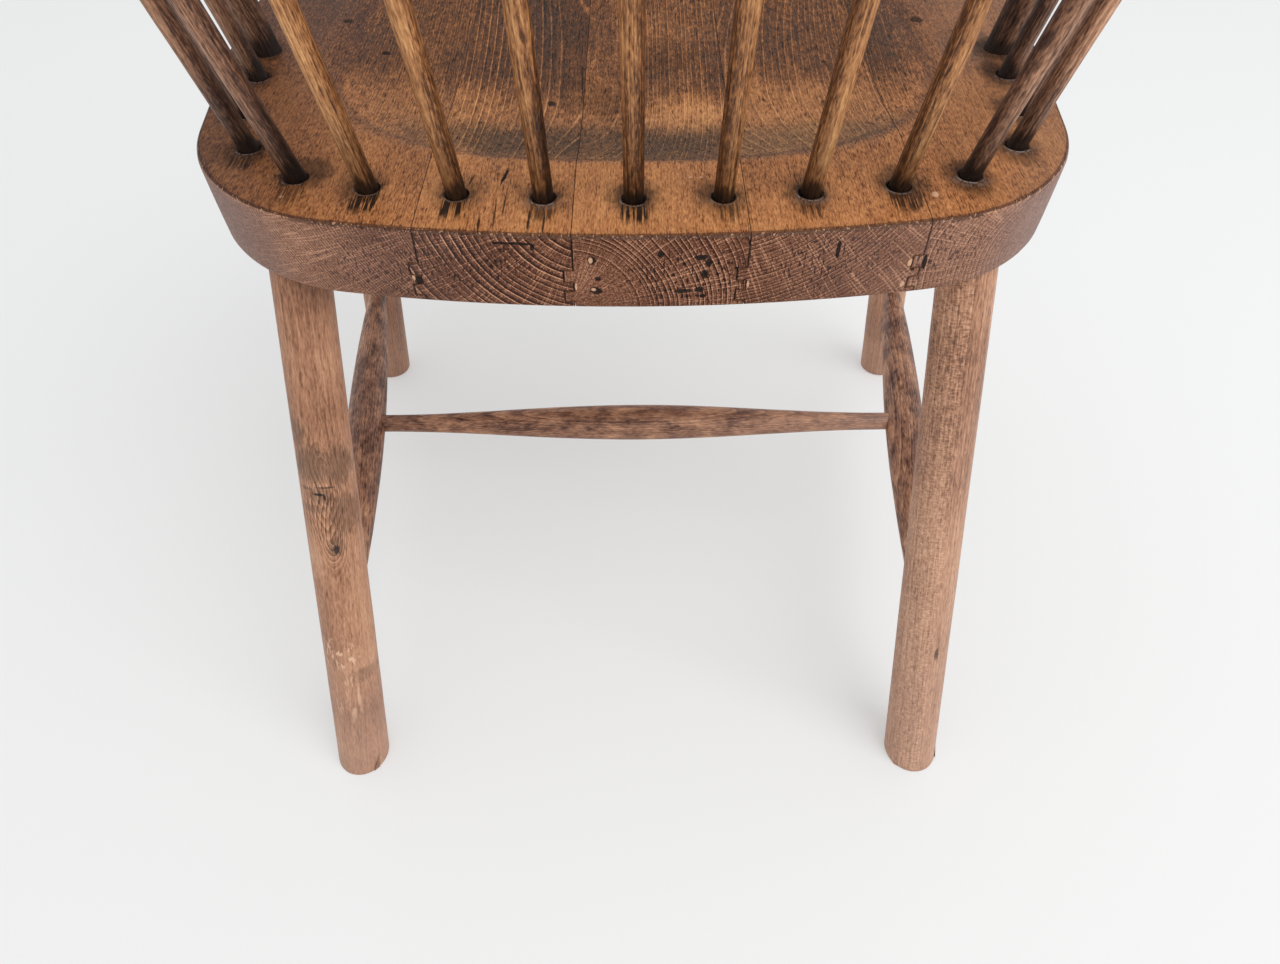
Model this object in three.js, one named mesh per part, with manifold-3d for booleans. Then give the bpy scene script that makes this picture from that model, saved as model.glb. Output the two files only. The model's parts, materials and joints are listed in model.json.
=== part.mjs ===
// A stick back armchair in stained wood. Its dished seat is glued up from five boards. Four plain
// legs carry it, joined by three stretchers. Nine long sticks rise from the seat through a bent
// arm bow into a top bow, and three short sticks and a turned post stand under each arm.
// Millimetres, +Z up, the front faces -Y. y = 0 is at the seat's rear edge while it is drawn.

import * as THREE from 'three';
import { mergeVertices } from 'three/addons/utils/BufferGeometryUtils.js';
import Module from 'manifold-3d';

const wasm = await Module();
wasm.setup();

// Clearance round every tenon and stick, and in the glue lines between the boards
const fit = 0.3;
const glueGap = 0.24;

// Seat, with its height taken at the rear edge and the front a little higher
const seatHeight = 415;
const seatTilt = 1.4;
const seatThickness = 44;
const seatHalfWidth = 259;
const seatDepth = 440;
const seatArris = 2;
const seatDraft = 2;

// Corners of the polygon that the seat's outline rounds off
const backCrown = 13.6;
const backRadius = 866;
const rearCornerIn = 29.4;
const rearCornerDown = 27.3;
const rearCornerRadius = 107;
const widestDown = 268;
const sideRadius = 420;
const frontCornerIn = 23;
const frontCornerUp = 36;
const frontCornerRadius = 70;
const frontRadius = 900;

// Dish worked into the seat, steep behind and fading out towards the front. The decks are what it
// leaves of the seat's top round it.
const dishDepth = 13;
const dishCentre = 200;
const rearDeck = 65;
const sideDeck = 69;
const frontDeck = 15;
const dishSquareness = 2.6;
const dishRearWall = 0.34;
const dishFrontWall = 0.85;
const dishLip = 0.6;

// Glue lines of the five boards, and the fingers that step across each line below its top
const seams = [-145, -56, 30, 107];
const fingerReach = 5;
const fingers = [
  { from: 20, to: 27.5 },
  { from: 33, to: 40 },
];

// Legs, plain tapers from the foot to a blind socket in the seat. In and along are where a leg
// meets the seat's underside, from its widest side and its rear or front edge. Out and splay are
// how far the foot stands from there, sideways and backwards or forwards.
const footDiameter = 37.3;
const legTopDiameter = 32.6;
const rearLeg = { in: 76, along: 50, out: 25.8, splay: 105 };
const frontLeg = { in: 41, along: 104, out: 50, splay: 64 };

// Wood left in the seat between the leg heads below and the stick ends above
const woodBetween = 7;

// Stretchers, slim at their tenons and swelling to the middle
const stretcherEndDiameter = 14;
const stretcherDiameter = 31;
const stretcherTenon = 20;
const crossTenon = 14;
const crossSwell = 300;
const stretcherAtRear = 117;
const stretcherAtFront = 133;
const shoulderOut = 3;

// Sticks: their spacing along the seat from the middle outwards, and where they end above
const stickDiameter = 12;
const stickTopDiameter = 10;
const stickTenon = 17;
const stickInsetBack = 33;
const stickInsetSide = 24;
const stickCornerRadius = 80;
const leanBack = 0.196;
const leanSide = 0.244;
const longStickPitches = [45, 44, 46, 40];
const shortStickPitches = [45, 40, 45];
const postPitch = 35;
const stickTopAngles = [13, 29, 46, 74];

// Arm bow, level, and the places of what stands under it along its middle line
const armRise = 225;
const armWidth = 34;
const armThickness = 22;
const armCornerRadius = 104;
const armSocket = 14;
const armPlaces = [280, 327, 377];
const postPlace = 415;
const armPastPost = 55;

// Arm posts
const postDiameter = 17;
const postSwell = 7;
const postTenon = 24;

// Top bow, a round hoop in a plane that leans back from the arm bow
const hoopDiameter = 22;
const hoopFootPlace = 243;
const hoopBulge = 18;
const hoopRise = 303;
const hoopLean = 20.5;
const hoopTenonDiameter = 15;

// Facets
const stickSides = 12;
const legSides = 24;
const stretcherSides = 18;
const stretcherRings = 16;
const postRings = 10;
const dishSides = 40;
const bowSides = 6;
const armSteps = 42;
const hoopSteps = 44;

// What follows from the sizes above
const legTenon = seatThickness - stickTenon - woodBetween;
const dishHalfWidth = seatHalfWidth - sideDeck;
const dishBehind = dishCentre - rearDeck;
const dishAhead = seatDepth - frontDeck - dishCentre;
const armOutsetBack = leanBack * armRise - stickInsetBack;
const armOutsetSide = leanSide * armRise - stickInsetSide;
const armHeight = seatHeight + armRise;
const armTop = armHeight + armThickness / 2;
const armUnderside = armHeight - armThickness / 2;
const armReach = postPlace + armPastPost - armWidth / 2;

const { Vector2, Vector3 } = THREE;
const radians = THREE.MathUtils.degToRad;

// Solids and geometries

function toSolid(geometry) {
  const bare = geometry.clone();
  bare.deleteAttribute('normal');
  bare.deleteAttribute('uv');
  const merged = mergeVertices(bare, 1e-3);
  const index = merged.index.array;
  const corners = [];
  for (let i = 0; i < index.length; i += 3) {
    const [a, b, c] = [index[i], index[i + 1], index[i + 2]];
    if (a !== b && b !== c && c !== a) {
      corners.push(a, b, c);
    }
  }
  return new wasm.Manifold(new wasm.Mesh({
    numProp: 3,
    vertProperties: new Float32Array(merged.attributes.position.array),
    triVerts: new Uint32Array(corners),
  }));
}

function toGeometry(solid) {
  const mesh = solid.getMesh();
  const geometry = new THREE.BufferGeometry();
  geometry.setAttribute('position', new THREE.BufferAttribute(mesh.vertProperties, 3));
  geometry.setIndex(new THREE.BufferAttribute(mesh.triVerts, 1));
  geometry.computeVertexNormals();
  return geometry;
}

function cut(solid, tools) {
  return tools.reduce((left, tool) => left.subtract(tool), solid);
}

// A piece turned between two points. radiusAt takes the distance from the start. The same piece
// grown by the clearance is the tool that cuts its sockets.
class Turning {
  constructor(start, end, radiusAt, rings, sides) {
    this.start = start;
    this.end = end;
    this.length = start.distanceTo(end);
    this.radiusAt = radiusAt;
    this.rings = rings;
    this.sides = sides;
  }

  solid(clearance = 0) {
    const profile = [new Vector2(0, -clearance)];
    for (let ring = 0; ring <= this.rings; ring++) {
      const along = this.length * ring / this.rings;
      const endShift = clearance * (2 * ring / this.rings - 1);
      profile.push(new Vector2(this.radiusAt(along) + clearance, along + endShift));
    }
    profile.push(new Vector2(0, this.length + clearance));
    const geometry = new THREE.LatheGeometry(profile, this.sides);
    const direction = new Vector3().subVectors(this.end, this.start).normalize();
    const turn = new THREE.Quaternion().setFromUnitVectors(new Vector3(0, 1, 0), direction);
    geometry.applyQuaternion(turn);
    geometry.translate(this.start.x, this.start.y, this.start.z);
    return toSolid(geometry);
  }
}

// Outlines

// Rounds the inner corners of an open run of points, or every corner of a closed one, each with
// its own radius as far as its two edges leave room for it.
function roundedPath(corners, closed) {
  const count = corners.length;
  const edge = (i) => corners[(i + 1) % count].clone().sub(corners[i]);
  const rounds = corners.map((point, i) => {
    if (!closed && (i === 0 || i === count - 1)) {
      return { reach: 0, turn: 0 };
    }
    const before = edge((i + count - 1) % count);
    const after = edge(i);
    const turn = Math.atan2(before.cross(after), before.dot(after));
    return { reach: point.radius * Math.tan(Math.abs(turn) / 2), turn };
  });
  const share = (i, j) => {
    const room = corners[i].distanceTo(corners[j]);
    return Math.min(1, room / (rounds[i].reach + rounds[j].reach));
  };
  const path = closed ? new THREE.Shape() : new THREE.Path();
  corners.forEach((point, i) => {
    const { reach, turn } = rounds[i];
    const last = (i + count - 1) % count;
    const scale = Math.min(share(last, i), share(i, (i + 1) % count));
    const before = edge(last).normalize();
    const entry = point.clone().addScaledVector(before, -reach * scale);
    if (i === 0) {
      path.moveTo(entry.x, entry.y);
    } else {
      path.lineTo(entry.x, entry.y);
    }
    if (reach > 0) {
      const radius = point.radius * scale;
      const across = new Vector2(-before.y, before.x).multiplyScalar(Math.sign(turn) * radius);
      const centre = entry.clone().add(across);
      const from = Math.atan2(-across.y, -across.x);
      path.absarc(centre.x, centre.y, radius, from, from + turn, turn < 0);
    }
  });
  if (closed) {
    path.closePath();
  }
  return path;
}

function corner(x, y, radius) {
  const point = new Vector2(x, y);
  point.radius = radius;
  return point;
}

// The seat's corners on the +X side, from the rear one to the front one
const sideCorners = [
  corner(seatHalfWidth - rearCornerIn, -rearCornerDown, rearCornerRadius),
  corner(seatHalfWidth, -widestDown, sideRadius),
  corner(seatHalfWidth - frontCornerIn, frontCornerUp - seatDepth, frontCornerRadius),
];

function mirrored(corners) {
  return corners.map((point) => corner(-point.x, point.y, point.radius)).reverse();
}

const backCorner = corner(0, backCrown, backRadius);
const frontCorner = corner(0, -seatDepth, frontRadius);
const seatOutline = roundedPath([backCorner, ...sideCorners, frontCorner, ...mirrored(sideCorners)], true);

// A line that follows the seat's back and sides at its own distances inside them. It starts at
// the front on the -X side and ends at the front on the +X side.
function seatLine(insetBack, insetSide, cornerRadius) {
  const points = [...mirrored(sideCorners), backCorner, ...sideCorners];
  const insets = [insetSide, insetSide, insetBack, insetBack, insetSide, insetSide];
  const edges = insets.map((inset, i) => {
    const along = points[i + 1].clone().sub(points[i]).normalize();
    const start = points[i].clone().add(new Vector2(along.y, -along.x).multiplyScalar(inset));
    return { along, start };
  });
  const moved = points.map((point, i) => {
    const before = edges[Math.max(i - 1, 0)];
    const after = edges[Math.min(i, edges.length - 1)];
    if (before === after) {
      const inset = insets[edges.indexOf(after)];
      return point.clone().add(new Vector2(after.along.y, -after.along.x).multiplyScalar(inset));
    }
    const gap = after.start.clone().sub(before.start);
    const reach = gap.cross(after.along) / before.along.cross(after.along);
    return before.start.clone().addScaledVector(before.along, reach);
  });
  const rounded = moved.map((point, i) => {
    const radius = points[i].radius === rearCornerRadius ? cornerRadius : points[i].radius;
    return corner(point.x, point.y, radius);
  });
  return roundedPath(rounded, false);
}

// The point at a distance along a line from its middle, positive towards +X
function pointOn(line, distance) {
  return line.getPoint(0.5 + distance / line.getLength());
}

const stickLine = seatLine(stickInsetBack, stickInsetSide, stickCornerRadius);
const armLine = seatLine(-armOutsetBack, -armOutsetSide, armCornerRadius);

// Heights

function seatTopAt(y) {
  return seatHeight - y * Math.tan(radians(seatTilt));
}

function onSeat({ x, y }) {
  return new Vector3(x, y, seatTopAt(y));
}

function underSeat({ x, y }) {
  return new Vector3(x, y, seatTopAt(y) - seatThickness);
}

// The point where a line through two points reaches a height
function atHeight(low, high, z) {
  return low.clone().lerp(high, (z - low.z) / (high.z - low.z));
}

// Bows

class ArmCurve extends THREE.Curve {
  getPoint(t, target = new Vector3()) {
    const point = pointOn(armLine, (2 * t - 1) * armReach);
    return target.set(point.x, point.y, armHeight);
  }
}

// The hoop is an arc of an ellipse in its leaning plane. Its feet stand on the arm bow's middle
// line, and it spreads past them by the bulge on each side.
const hoopFoot = pointOn(armLine, hoopFootPlace);
const hoopHalfWidth = hoopFoot.x + hoopBulge;
const hoopEnd = Math.PI - Math.asin(hoopFoot.x / hoopHalfWidth);
const hoopHalfHeight = hoopRise / (1 - Math.cos(hoopEnd));
const hoopCentre = hoopRise - hoopHalfHeight;

function hoopPoint(angle, target = new Vector3()) {
  const up = hoopCentre + hoopHalfHeight * Math.cos(angle);
  const x = hoopHalfWidth * Math.sin(angle);
  const y = hoopFoot.y + up * Math.sin(radians(hoopLean));
  return target.set(x, y, armTop + up * Math.cos(radians(hoopLean)));
}

const hoopFootRun = 10;
const hoopOverrun = hoopFootRun / hoopHalfHeight;

class HoopCurve extends THREE.Curve {
  getPoint(t, target = new Vector3()) {
    return hoopPoint((2 * t - 1) * (hoopEnd + hoopOverrun), target);
  }
}

function bowSection(halfHeight, halfWidth) {
  return new THREE.Shape().absellipse(0, 0, halfHeight, halfWidth, 0, 2 * Math.PI);
}

function bentBar(curve, section, steps) {
  return toSolid(new THREE.ExtrudeGeometry(section, {
    extrudePath: curve,
    steps,
    curveSegments: bowSides,
    bevelEnabled: false,
  }));
}

// The arm bow's bar with its two rounded ends, fatter all round by the clearance
function armBar(clearance = 0) {
  const halfWidth = armWidth / 2 + clearance;
  const halfThickness = armThickness / 2 + clearance;
  let bar = bentBar(new ArmCurve(), bowSection(halfThickness, halfWidth), armSteps);
  for (const side of [-1, 1]) {
    const end = new THREE.SphereGeometry(1, 2 * bowSides, 8);
    end.scale(halfWidth, halfWidth, halfThickness);
    const point = pointOn(armLine, side * armReach);
    const before = pointOn(armLine, side * (armReach - 1));
    end.rotateZ(Math.atan2(point.y - before.y, point.x - before.x) + Math.PI / 2);
    end.translate(point.x, point.y, armHeight);
    bar = bar.add(toSolid(end));
  }
  return bar;
}

// Turned pieces

function evenTaper(length, startRadius, endRadius) {
  return (along) => startRadius + (endRadius - startRadius) * along / length;
}

function longStick(base, top) {
  const axis = new Vector3().subVectors(top, base).normalize();
  const start = base.clone().addScaledVector(axis, -stickTenon);
  const arm = atHeight(base, top, armHeight);
  const straight = start.distanceTo(arm);
  const taper = evenTaper(start.distanceTo(top) - straight, stickDiameter / 2, stickTopDiameter / 2);
  return new Turning(start, top, (along) => taper(Math.max(0, along - straight)), 6, stickSides);
}

function shortPiece(base, arm, tenon, radiusAt, rings) {
  const axis = new Vector3().subVectors(arm, base).normalize();
  const start = base.clone().addScaledVector(axis, -tenon);
  const end = atHeight(base, arm, armUnderside + armSocket);
  return new Turning(start, end, radiusAt(start.distanceTo(end)), rings, stickSides);
}

function shortStick(base, arm) {
  return shortPiece(base, arm, stickTenon, () => () => stickDiameter / 2, 1);
}

function armPost(base, arm) {
  const radiusAt = (length) => (along) => {
    const free = (along - postTenon) / (length - postTenon - armSocket);
    const swell = Math.sin(Math.PI * THREE.MathUtils.clamp(free, 0, 1));
    return (postDiameter + postSwell * swell) / 2;
  };
  return shortPiece(base, arm, postTenon, radiusAt, postRings);
}

// A leg runs on below the floor so that its foot can be cut level. It meets the seat's underside
// at a point and splays from there to its foot.
function leg(top, splayX, splayY) {
  const floor = new Vector3(top.x + splayX, top.y + splayY, 0);
  const seat = underSeat(top);
  const axis = new Vector3().subVectors(seat, floor).normalize();
  const below = footDiameter / 2;
  const start = floor.clone().addScaledVector(axis, -below);
  const end = seat.clone().addScaledVector(axis, legTenon);
  const taper = evenTaper(floor.distanceTo(seat), footDiameter / 2, legTopDiameter / 2);
  return new Turning(start, end, (along) => taper(along - below), 1, legSides);
}

function pointOnLeg(turning, z) {
  return atHeight(turning.start, turning.end, z);
}

// A stretcher between the middles of two turned pieces, with its tenons set into both
function stretcher(from, to, radiusFrom, radiusTo, tenon, swellAt) {
  const axis = new Vector3().subVectors(to, from).normalize();
  const start = from.clone().addScaledVector(axis, radiusFrom - tenon);
  const end = to.clone().addScaledVector(axis, tenon - radiusTo);
  const length = start.distanceTo(end);
  const inner = tenon + shoulderOut;
  const radiusAt = (along) => {
    const free = THREE.MathUtils.clamp((along - inner) / (length - 2 * inner), 0, 1);
    const swell = swellAt(free, length - 2 * inner);
    return (stretcherEndDiameter + (stretcherDiameter - stretcherEndDiameter) * swell) / 2;
  };
  return new Turning(start, end, radiusAt, stretcherRings, stretcherSides);
}

function sideSwell(free) {
  return Math.sin(Math.PI * free);
}

function crossSwellAt(free, length) {
  const fromMiddle = Math.abs(free - 0.5) * length;
  return Math.cos(Math.PI / 2 * Math.min(1, 2 * fromMiddle / crossSwell)) ** 2;
}

// Seat

const seatPlace = new THREE.Matrix4()
  .makeTranslation(0, 0, seatHeight)
  .multiply(new THREE.Matrix4().makeRotationX(-radians(seatTilt)));

function seatBlank() {
  const slab = new THREE.ExtrudeGeometry(seatOutline, {
    depth: seatThickness - 2 * seatArris,
    curveSegments: 4,
    bevelThickness: seatArris,
    bevelSize: seatArris,
    bevelOffset: -seatArris,
    bevelSegments: 1,
  });
  slab.translate(0, 0, seatArris - seatThickness);
  const position = slab.attributes.position;
  for (let i = 0; i < position.count; i++) {
    const drop = -position.getZ(i) / seatThickness;
    const middle = -seatDepth / 2;
    position.setX(i, position.getX(i) * (1 - drop * seatDraft / seatHalfWidth));
    position.setY(i, middle + (position.getY(i) - middle) * (1 + drop * seatDraft / middle));
  }
  return toSolid(slab.applyMatrix4(seatPlace));
}

// The dish is a turned bowl of unit floor and unit wall, pushed out to its rounded square rim. The
// rim passes a little above the seat, which leaves a clean edge where the wall comes through.
function dishTool() {
  const wallSteps = 7;
  const profile = [new Vector2(0, -dishDepth)];
  for (let step = 0; step <= wallSteps; step++) {
    const along = step / wallSteps;
    const rise = (dishDepth + dishLip) * (1 - Math.cos(Math.PI * along)) / 2;
    profile.push(new Vector2(1 + along, rise - dishDepth));
  }
  profile.push(new Vector2(2, dishDepth));
  profile.push(new Vector2(0, dishDepth));
  const bowl = new THREE.LatheGeometry(profile, dishSides);
  bowl.rotateX(Math.PI / 2);
  const position = bowl.attributes.position;
  for (let i = 0; i < position.count; i++) {
    const x = position.getX(i);
    const y = position.getY(i);
    const radius = Math.hypot(x, y);
    if (radius > 0) {
      const ahead = (1 - y / radius) / 2;
      const wall = dishRearWall + (dishFrontWall - dishRearWall) * ahead ** 2;
      const share = radius < 1 ? radius * (1 - wall) : 1 - wall * (2 - radius);
      const sideways = Math.abs(x) / radius / dishHalfWidth;
      const lengthways = Math.abs(y) / radius / (y > 0 ? dishBehind : dishAhead);
      const rim = (sideways ** dishSquareness + lengthways ** dishSquareness) ** (-1 / dishSquareness);
      position.setX(i, x / radius * share * rim);
      position.setY(i, y / radius * share * rim);
    }
  }
  bowl.translate(0, -dishCentre, 0);
  return toSolid(bowl.applyMatrix4(seatPlace));
}

// One edge of a board at a glue line, from above the seat to below it. The board on the -X side
// of the line carries the fingers, and the one on the +X side has the grooves that take them.
function seamEdge(seam, side) {
  const past = 10;
  const slack = side * glueGap / 2;
  const points = [[seam + slack, past]];
  for (const { from, to } of fingers) {
    points.push([seam + slack, slack - from]);
    points.push([seam + slack + fingerReach, slack - from]);
    points.push([seam + slack + fingerReach, -slack - to]);
    points.push([seam + slack, -slack - to]);
  }
  points.push([seam + slack, -seatThickness - past]);
  return points.map(([x, z]) => new Vector2(x, z));
}

function plainEdge(x) {
  return [new Vector2(x, 10), new Vector2(x, -seatThickness - 10)];
}

function boardTool(number) {
  const outer = seatHalfWidth + 10;
  const low = number === 0 ? plainEdge(-outer) : seamEdge(seams[number - 1], 1);
  const high = number === seams.length ? plainEdge(outer) : seamEdge(seams[number], -1);
  const shape = new THREE.Shape([...low, ...high.reverse()]);
  const length = seatDepth + 4 * backCrown;
  const slab = new THREE.ExtrudeGeometry(shape, { depth: length, bevelEnabled: false });
  slab.rotateX(Math.PI / 2);
  slab.translate(0, 2 * backCrown, 0);
  return toSolid(slab.applyMatrix4(seatPlace));
}

// Assembly

const sides = [
  { name: 'left', sign: 1 },
  { name: 'right', sign: -1 },
];
const chair = new THREE.Group();
chair.name = 'stick_back_armchair';

function addPiece(name, solid, colour, roughness) {
  const material = new THREE.MeshStandardMaterial({ color: colour, roughness, metalness: 0 });
  material.flatShading = true;
  const mesh = new THREE.Mesh(toGeometry(solid), material);
  mesh.name = name;
  chair.add(mesh);
}

function runningTotals(pitches, start) {
  let total = start;
  return pitches.map((pitch) => {
    total += pitch;
    return total;
  });
}

const longPlaces = runningTotals(longStickPitches, 0);
const shortPlaces = runningTotals(shortStickPitches, longPlaces.at(-1));
const postSeatPlace = shortPlaces.at(-1) + postPitch;

const backSticks = [];
const middleStick = longStick(onSeat(pointOn(stickLine, 0)), hoopPoint(0));
backSticks.push({ name: 'back_stick_middle', turning: middleStick });
const sideSticks = [];
const posts = [];
const legs = [];
const sideStretchers = [];

for (const { name, sign } of sides) {
  longPlaces.forEach((place, i) => {
    const base = onSeat(pointOn(stickLine, sign * place));
    const turning = longStick(base, hoopPoint(sign * radians(stickTopAngles[i])));
    backSticks.push({ name: `back_stick_${name}_${i + 1}`, turning });
  });
  shortPlaces.forEach((place, i) => {
    const base = onSeat(pointOn(stickLine, sign * place));
    const arm = pointOn(armLine, sign * armPlaces[i]);
    const turning = shortStick(base, new Vector3(arm.x, arm.y, armHeight));
    sideSticks.push({ name: `side_stick_${name}_${i + 1}`, turning });
  });
  const postBase = onSeat(pointOn(stickLine, sign * postSeatPlace));
  const postArm = pointOn(armLine, sign * postPlace);
  const postTurning = armPost(postBase, new Vector3(postArm.x, postArm.y, armHeight));
  posts.push({ name: `arm_post_${name}`, turning: postTurning });

  const rearTop = { x: sign * (seatHalfWidth - rearLeg.in), y: -rearLeg.along };
  const frontTop = { x: sign * (seatHalfWidth - frontLeg.in), y: frontLeg.along - seatDepth };
  const rear = leg(rearTop, sign * rearLeg.out, rearLeg.splay);
  const front = leg(frontTop, sign * frontLeg.out, -frontLeg.splay);
  legs.push({ name: `rear_leg_${name}`, turning: rear });
  legs.push({ name: `front_leg_${name}`, turning: front });
  const legRadius = (footDiameter + legTopDiameter) / 4;
  const atRear = pointOnLeg(rear, stretcherAtRear);
  const atFront = pointOnLeg(front, stretcherAtFront);
  const side = stretcher(atRear, atFront, legRadius, legRadius, stretcherTenon, sideSwell);
  sideStretchers.push({ name: `side_stretcher_${name}`, turning: side });
}

const [leftMiddle, rightMiddle] = sideStretchers.map(({ turning }) => {
  return turning.start.clone().lerp(turning.end, 0.5);
});
const swollen = stretcherDiameter / 2;
const crossStretcher = stretcher(rightMiddle, leftMiddle, swollen, swollen, crossTenon, crossSwellAt);

function tools(pieces) {
  return pieces.map(({ turning }) => turning.solid(fit));
}

const stickTools = tools([...backSticks, ...sideSticks, ...posts]);
const seatSolid = cut(seatBlank(), [dishTool(), ...tools(legs), ...stickTools]);
for (let number = 0; number <= seams.length; number++) {
  addPiece(`seat_board_${number + 1}`, seatSolid.intersect(boardTool(number)), 0x8a6045, 0.5);
}

const floorTool = new THREE.BoxGeometry(4 * seatHalfWidth, 4 * seatDepth, footDiameter);
floorTool.translate(0, 0, -footDiameter / 2);
const stretcherTools = tools(sideStretchers);
for (const { name, turning } of legs) {
  const solid = cut(turning.solid(), [toSolid(floorTool), ...stretcherTools]);
  addPiece(name, solid, 0x936b4d, 0.5);
}

const crossTool = crossStretcher.solid(fit);
for (const { name, turning } of sideStretchers) {
  addPiece(name, cut(turning.solid(), [crossTool]), 0x6e5040, 0.55);
}
addPiece('cross_stretcher', crossStretcher.solid(), 0x6e5040, 0.55);

// The hoop's feet are scribed to the arm bow and carry a tenon each
const hoopSection = bowSection(hoopDiameter / 2, hoopDiameter / 2);
const hoopTenons = sides.map(({ sign }) => {
  const foot = hoopPoint(sign * hoopEnd);
  const above = hoopPoint(sign * (hoopEnd - hoopOverrun));
  const end = atHeight(foot, above, armTop - armSocket);
  return new Turning(end, above, () => hoopTenonDiameter / 2, 1, stickSides);
});
let hoopSolid = cut(bentBar(new HoopCurve(), hoopSection, hoopSteps), [armBar(fit)]);
for (const tenon of hoopTenons) {
  hoopSolid = hoopSolid.add(tenon.solid());
}
hoopSolid = cut(hoopSolid, tools(backSticks));
const armSolid = cut(armBar(), [...stickTools, ...hoopTenons.map((tenon) => tenon.solid(fit))]);
addPiece('arm_bow', armSolid, 0x8c6242, 0.45);
addPiece('top_bow', hoopSolid, 0x8c6242, 0.45);

for (const { name, turning } of [...backSticks, ...sideSticks]) {
  addPiece(name, turning.solid(), 0x9a6b40, 0.45);
}
for (const { name, turning } of posts) {
  addPiece(name, turning.solid(), 0x8c6242, 0.45);
}

// The footprint is centred on the origin, with the feet on z = 0
const box = new THREE.Box3().setFromObject(chair);
chair.position.y = -(box.min.y + box.max.y) / 2;
chair.updateMatrixWorld(true);

export default chair;
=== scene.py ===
import json
import math

import bmesh
import bpy
import numpy as np
from mathutils import Matrix, Vector

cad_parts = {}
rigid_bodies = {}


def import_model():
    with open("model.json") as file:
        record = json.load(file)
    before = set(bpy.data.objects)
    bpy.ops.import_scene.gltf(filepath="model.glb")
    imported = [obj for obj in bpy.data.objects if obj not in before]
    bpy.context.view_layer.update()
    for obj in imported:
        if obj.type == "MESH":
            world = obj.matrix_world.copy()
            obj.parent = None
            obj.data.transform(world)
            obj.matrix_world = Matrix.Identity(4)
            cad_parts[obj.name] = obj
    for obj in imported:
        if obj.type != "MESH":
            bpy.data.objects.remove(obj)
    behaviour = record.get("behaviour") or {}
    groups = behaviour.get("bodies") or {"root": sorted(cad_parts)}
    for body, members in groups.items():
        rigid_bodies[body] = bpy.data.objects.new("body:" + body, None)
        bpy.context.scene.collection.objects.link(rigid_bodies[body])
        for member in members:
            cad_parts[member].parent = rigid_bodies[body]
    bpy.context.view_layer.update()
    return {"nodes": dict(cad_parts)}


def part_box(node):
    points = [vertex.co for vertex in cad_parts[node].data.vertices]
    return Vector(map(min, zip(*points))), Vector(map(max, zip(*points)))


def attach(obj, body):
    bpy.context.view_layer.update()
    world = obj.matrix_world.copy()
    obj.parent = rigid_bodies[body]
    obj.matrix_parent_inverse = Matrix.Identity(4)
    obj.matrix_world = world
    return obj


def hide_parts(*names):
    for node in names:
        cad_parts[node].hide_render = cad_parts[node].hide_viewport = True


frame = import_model()
print("frame loaded,", len(frame["nodes"]), "nodes")


# Selecting and simple operators


def deselectAll():
    for thing in bpy.context.selected_objects:
        thing.select_set(False)


def makeActive(piece):
    deselectAll()
    piece.select_set(True)
    bpy.context.view_layer.objects.active = piece


def editMode(piece):
    makeActive(piece)
    bpy.ops.object.mode_set(mode="EDIT")
    return bmesh.from_edit_mesh(piece.data)


def objectMode():
    bpy.ops.object.mode_set(mode="OBJECT")


def selectWhere(piece, kind, test):
    bpy.ops.mesh.select_mode(type={"verts": "VERT", "edges": "EDGE", "faces": "FACE"}[kind])
    bpy.ops.mesh.select_all(action="DESELECT")
    mesh = bmesh.from_edit_mesh(piece.data)
    found = 0
    for item in getattr(mesh, kind):
        if test(item):
            item.select_set(True)
            found += 1
    mesh.select_flush_mode()
    bmesh.update_edit_mesh(piece.data)
    return found


def applyModifier(piece, modifier):
    makeActive(piece)
    bpy.ops.object.modifier_apply(modifier=modifier.name)


def applyPlace(piece):
    makeActive(piece)
    bpy.ops.object.transform_apply(location=True, rotation=True, scale=True)


def copyOf(piece, name):
    twin = piece.copy()
    twin.data = piece.data.copy()
    twin.name = name
    bpy.context.scene.collection.objects.link(twin)
    return twin


def remove(things):
    for thing in things:
        bpy.data.objects.remove(thing, do_unlink=True)


def booleanWith(piece, cutter, operation):
    modifier = piece.modifiers.new("boolean", "BOOLEAN")
    modifier.operation = operation
    modifier.solver = "EXACT"
    modifier.object = cutter
    applyModifier(piece, modifier)


def joined(things, name):
    deselectAll()
    for thing in things:
        thing.select_set(True)
    bpy.context.view_layer.objects.active = things[0]
    bpy.ops.object.join()
    whole = bpy.context.object
    whole.name = name
    return whole


def smoothShade(piece, degrees):
    makeActive(piece)
    bpy.ops.object.shade_smooth_by_angle(angle=math.radians(degrees))


# Hand work leaves no surface quite true: a faint swell and dip over the whole piece
handWork = {"depth": 0.0004, "size": 0.045}


def workByHand(piece, depth=handWork["depth"], size=handWork["size"]):
    clouds = bpy.data.textures.new("handWork", "CLOUDS")
    clouds.noise_scale = size
    modifier = piece.modifiers.new("handWork", "DISPLACE")
    modifier.texture = clouds
    modifier.strength = depth
    modifier.mid_level = 0.5
    applyModifier(piece, modifier)


# The middle lines of turned pieces, read from the frame


def cornersOf(node):
    points = np.array([v.co[:] for v in frame["nodes"][node].data.vertices])
    return np.unique(np.round(points, 6), axis=0)


def endsOf(node):
    points = cornersOf(node)
    along = np.linalg.svd(points - points.mean(0), full_matrices=False)[2][0]
    for _ in range(3):
        reach = points @ along
        low = points[reach < reach.min() + 0.0006].mean(0)
        high = points[reach > reach.max() - 0.0006].mean(0)
        along = (high - low) / np.linalg.norm(high - low)
    if low[2] > high[2]:
        low, high = high, low
    return Vector(low), Vector(high)


def legEndsOf(node):
    points = cornersOf(node)
    foot = points[points[:, 2] < 0.0005].mean(0)
    head = points[points[:, 2] > 0.3].mean(0)
    return Vector(foot), Vector(head)


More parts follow.
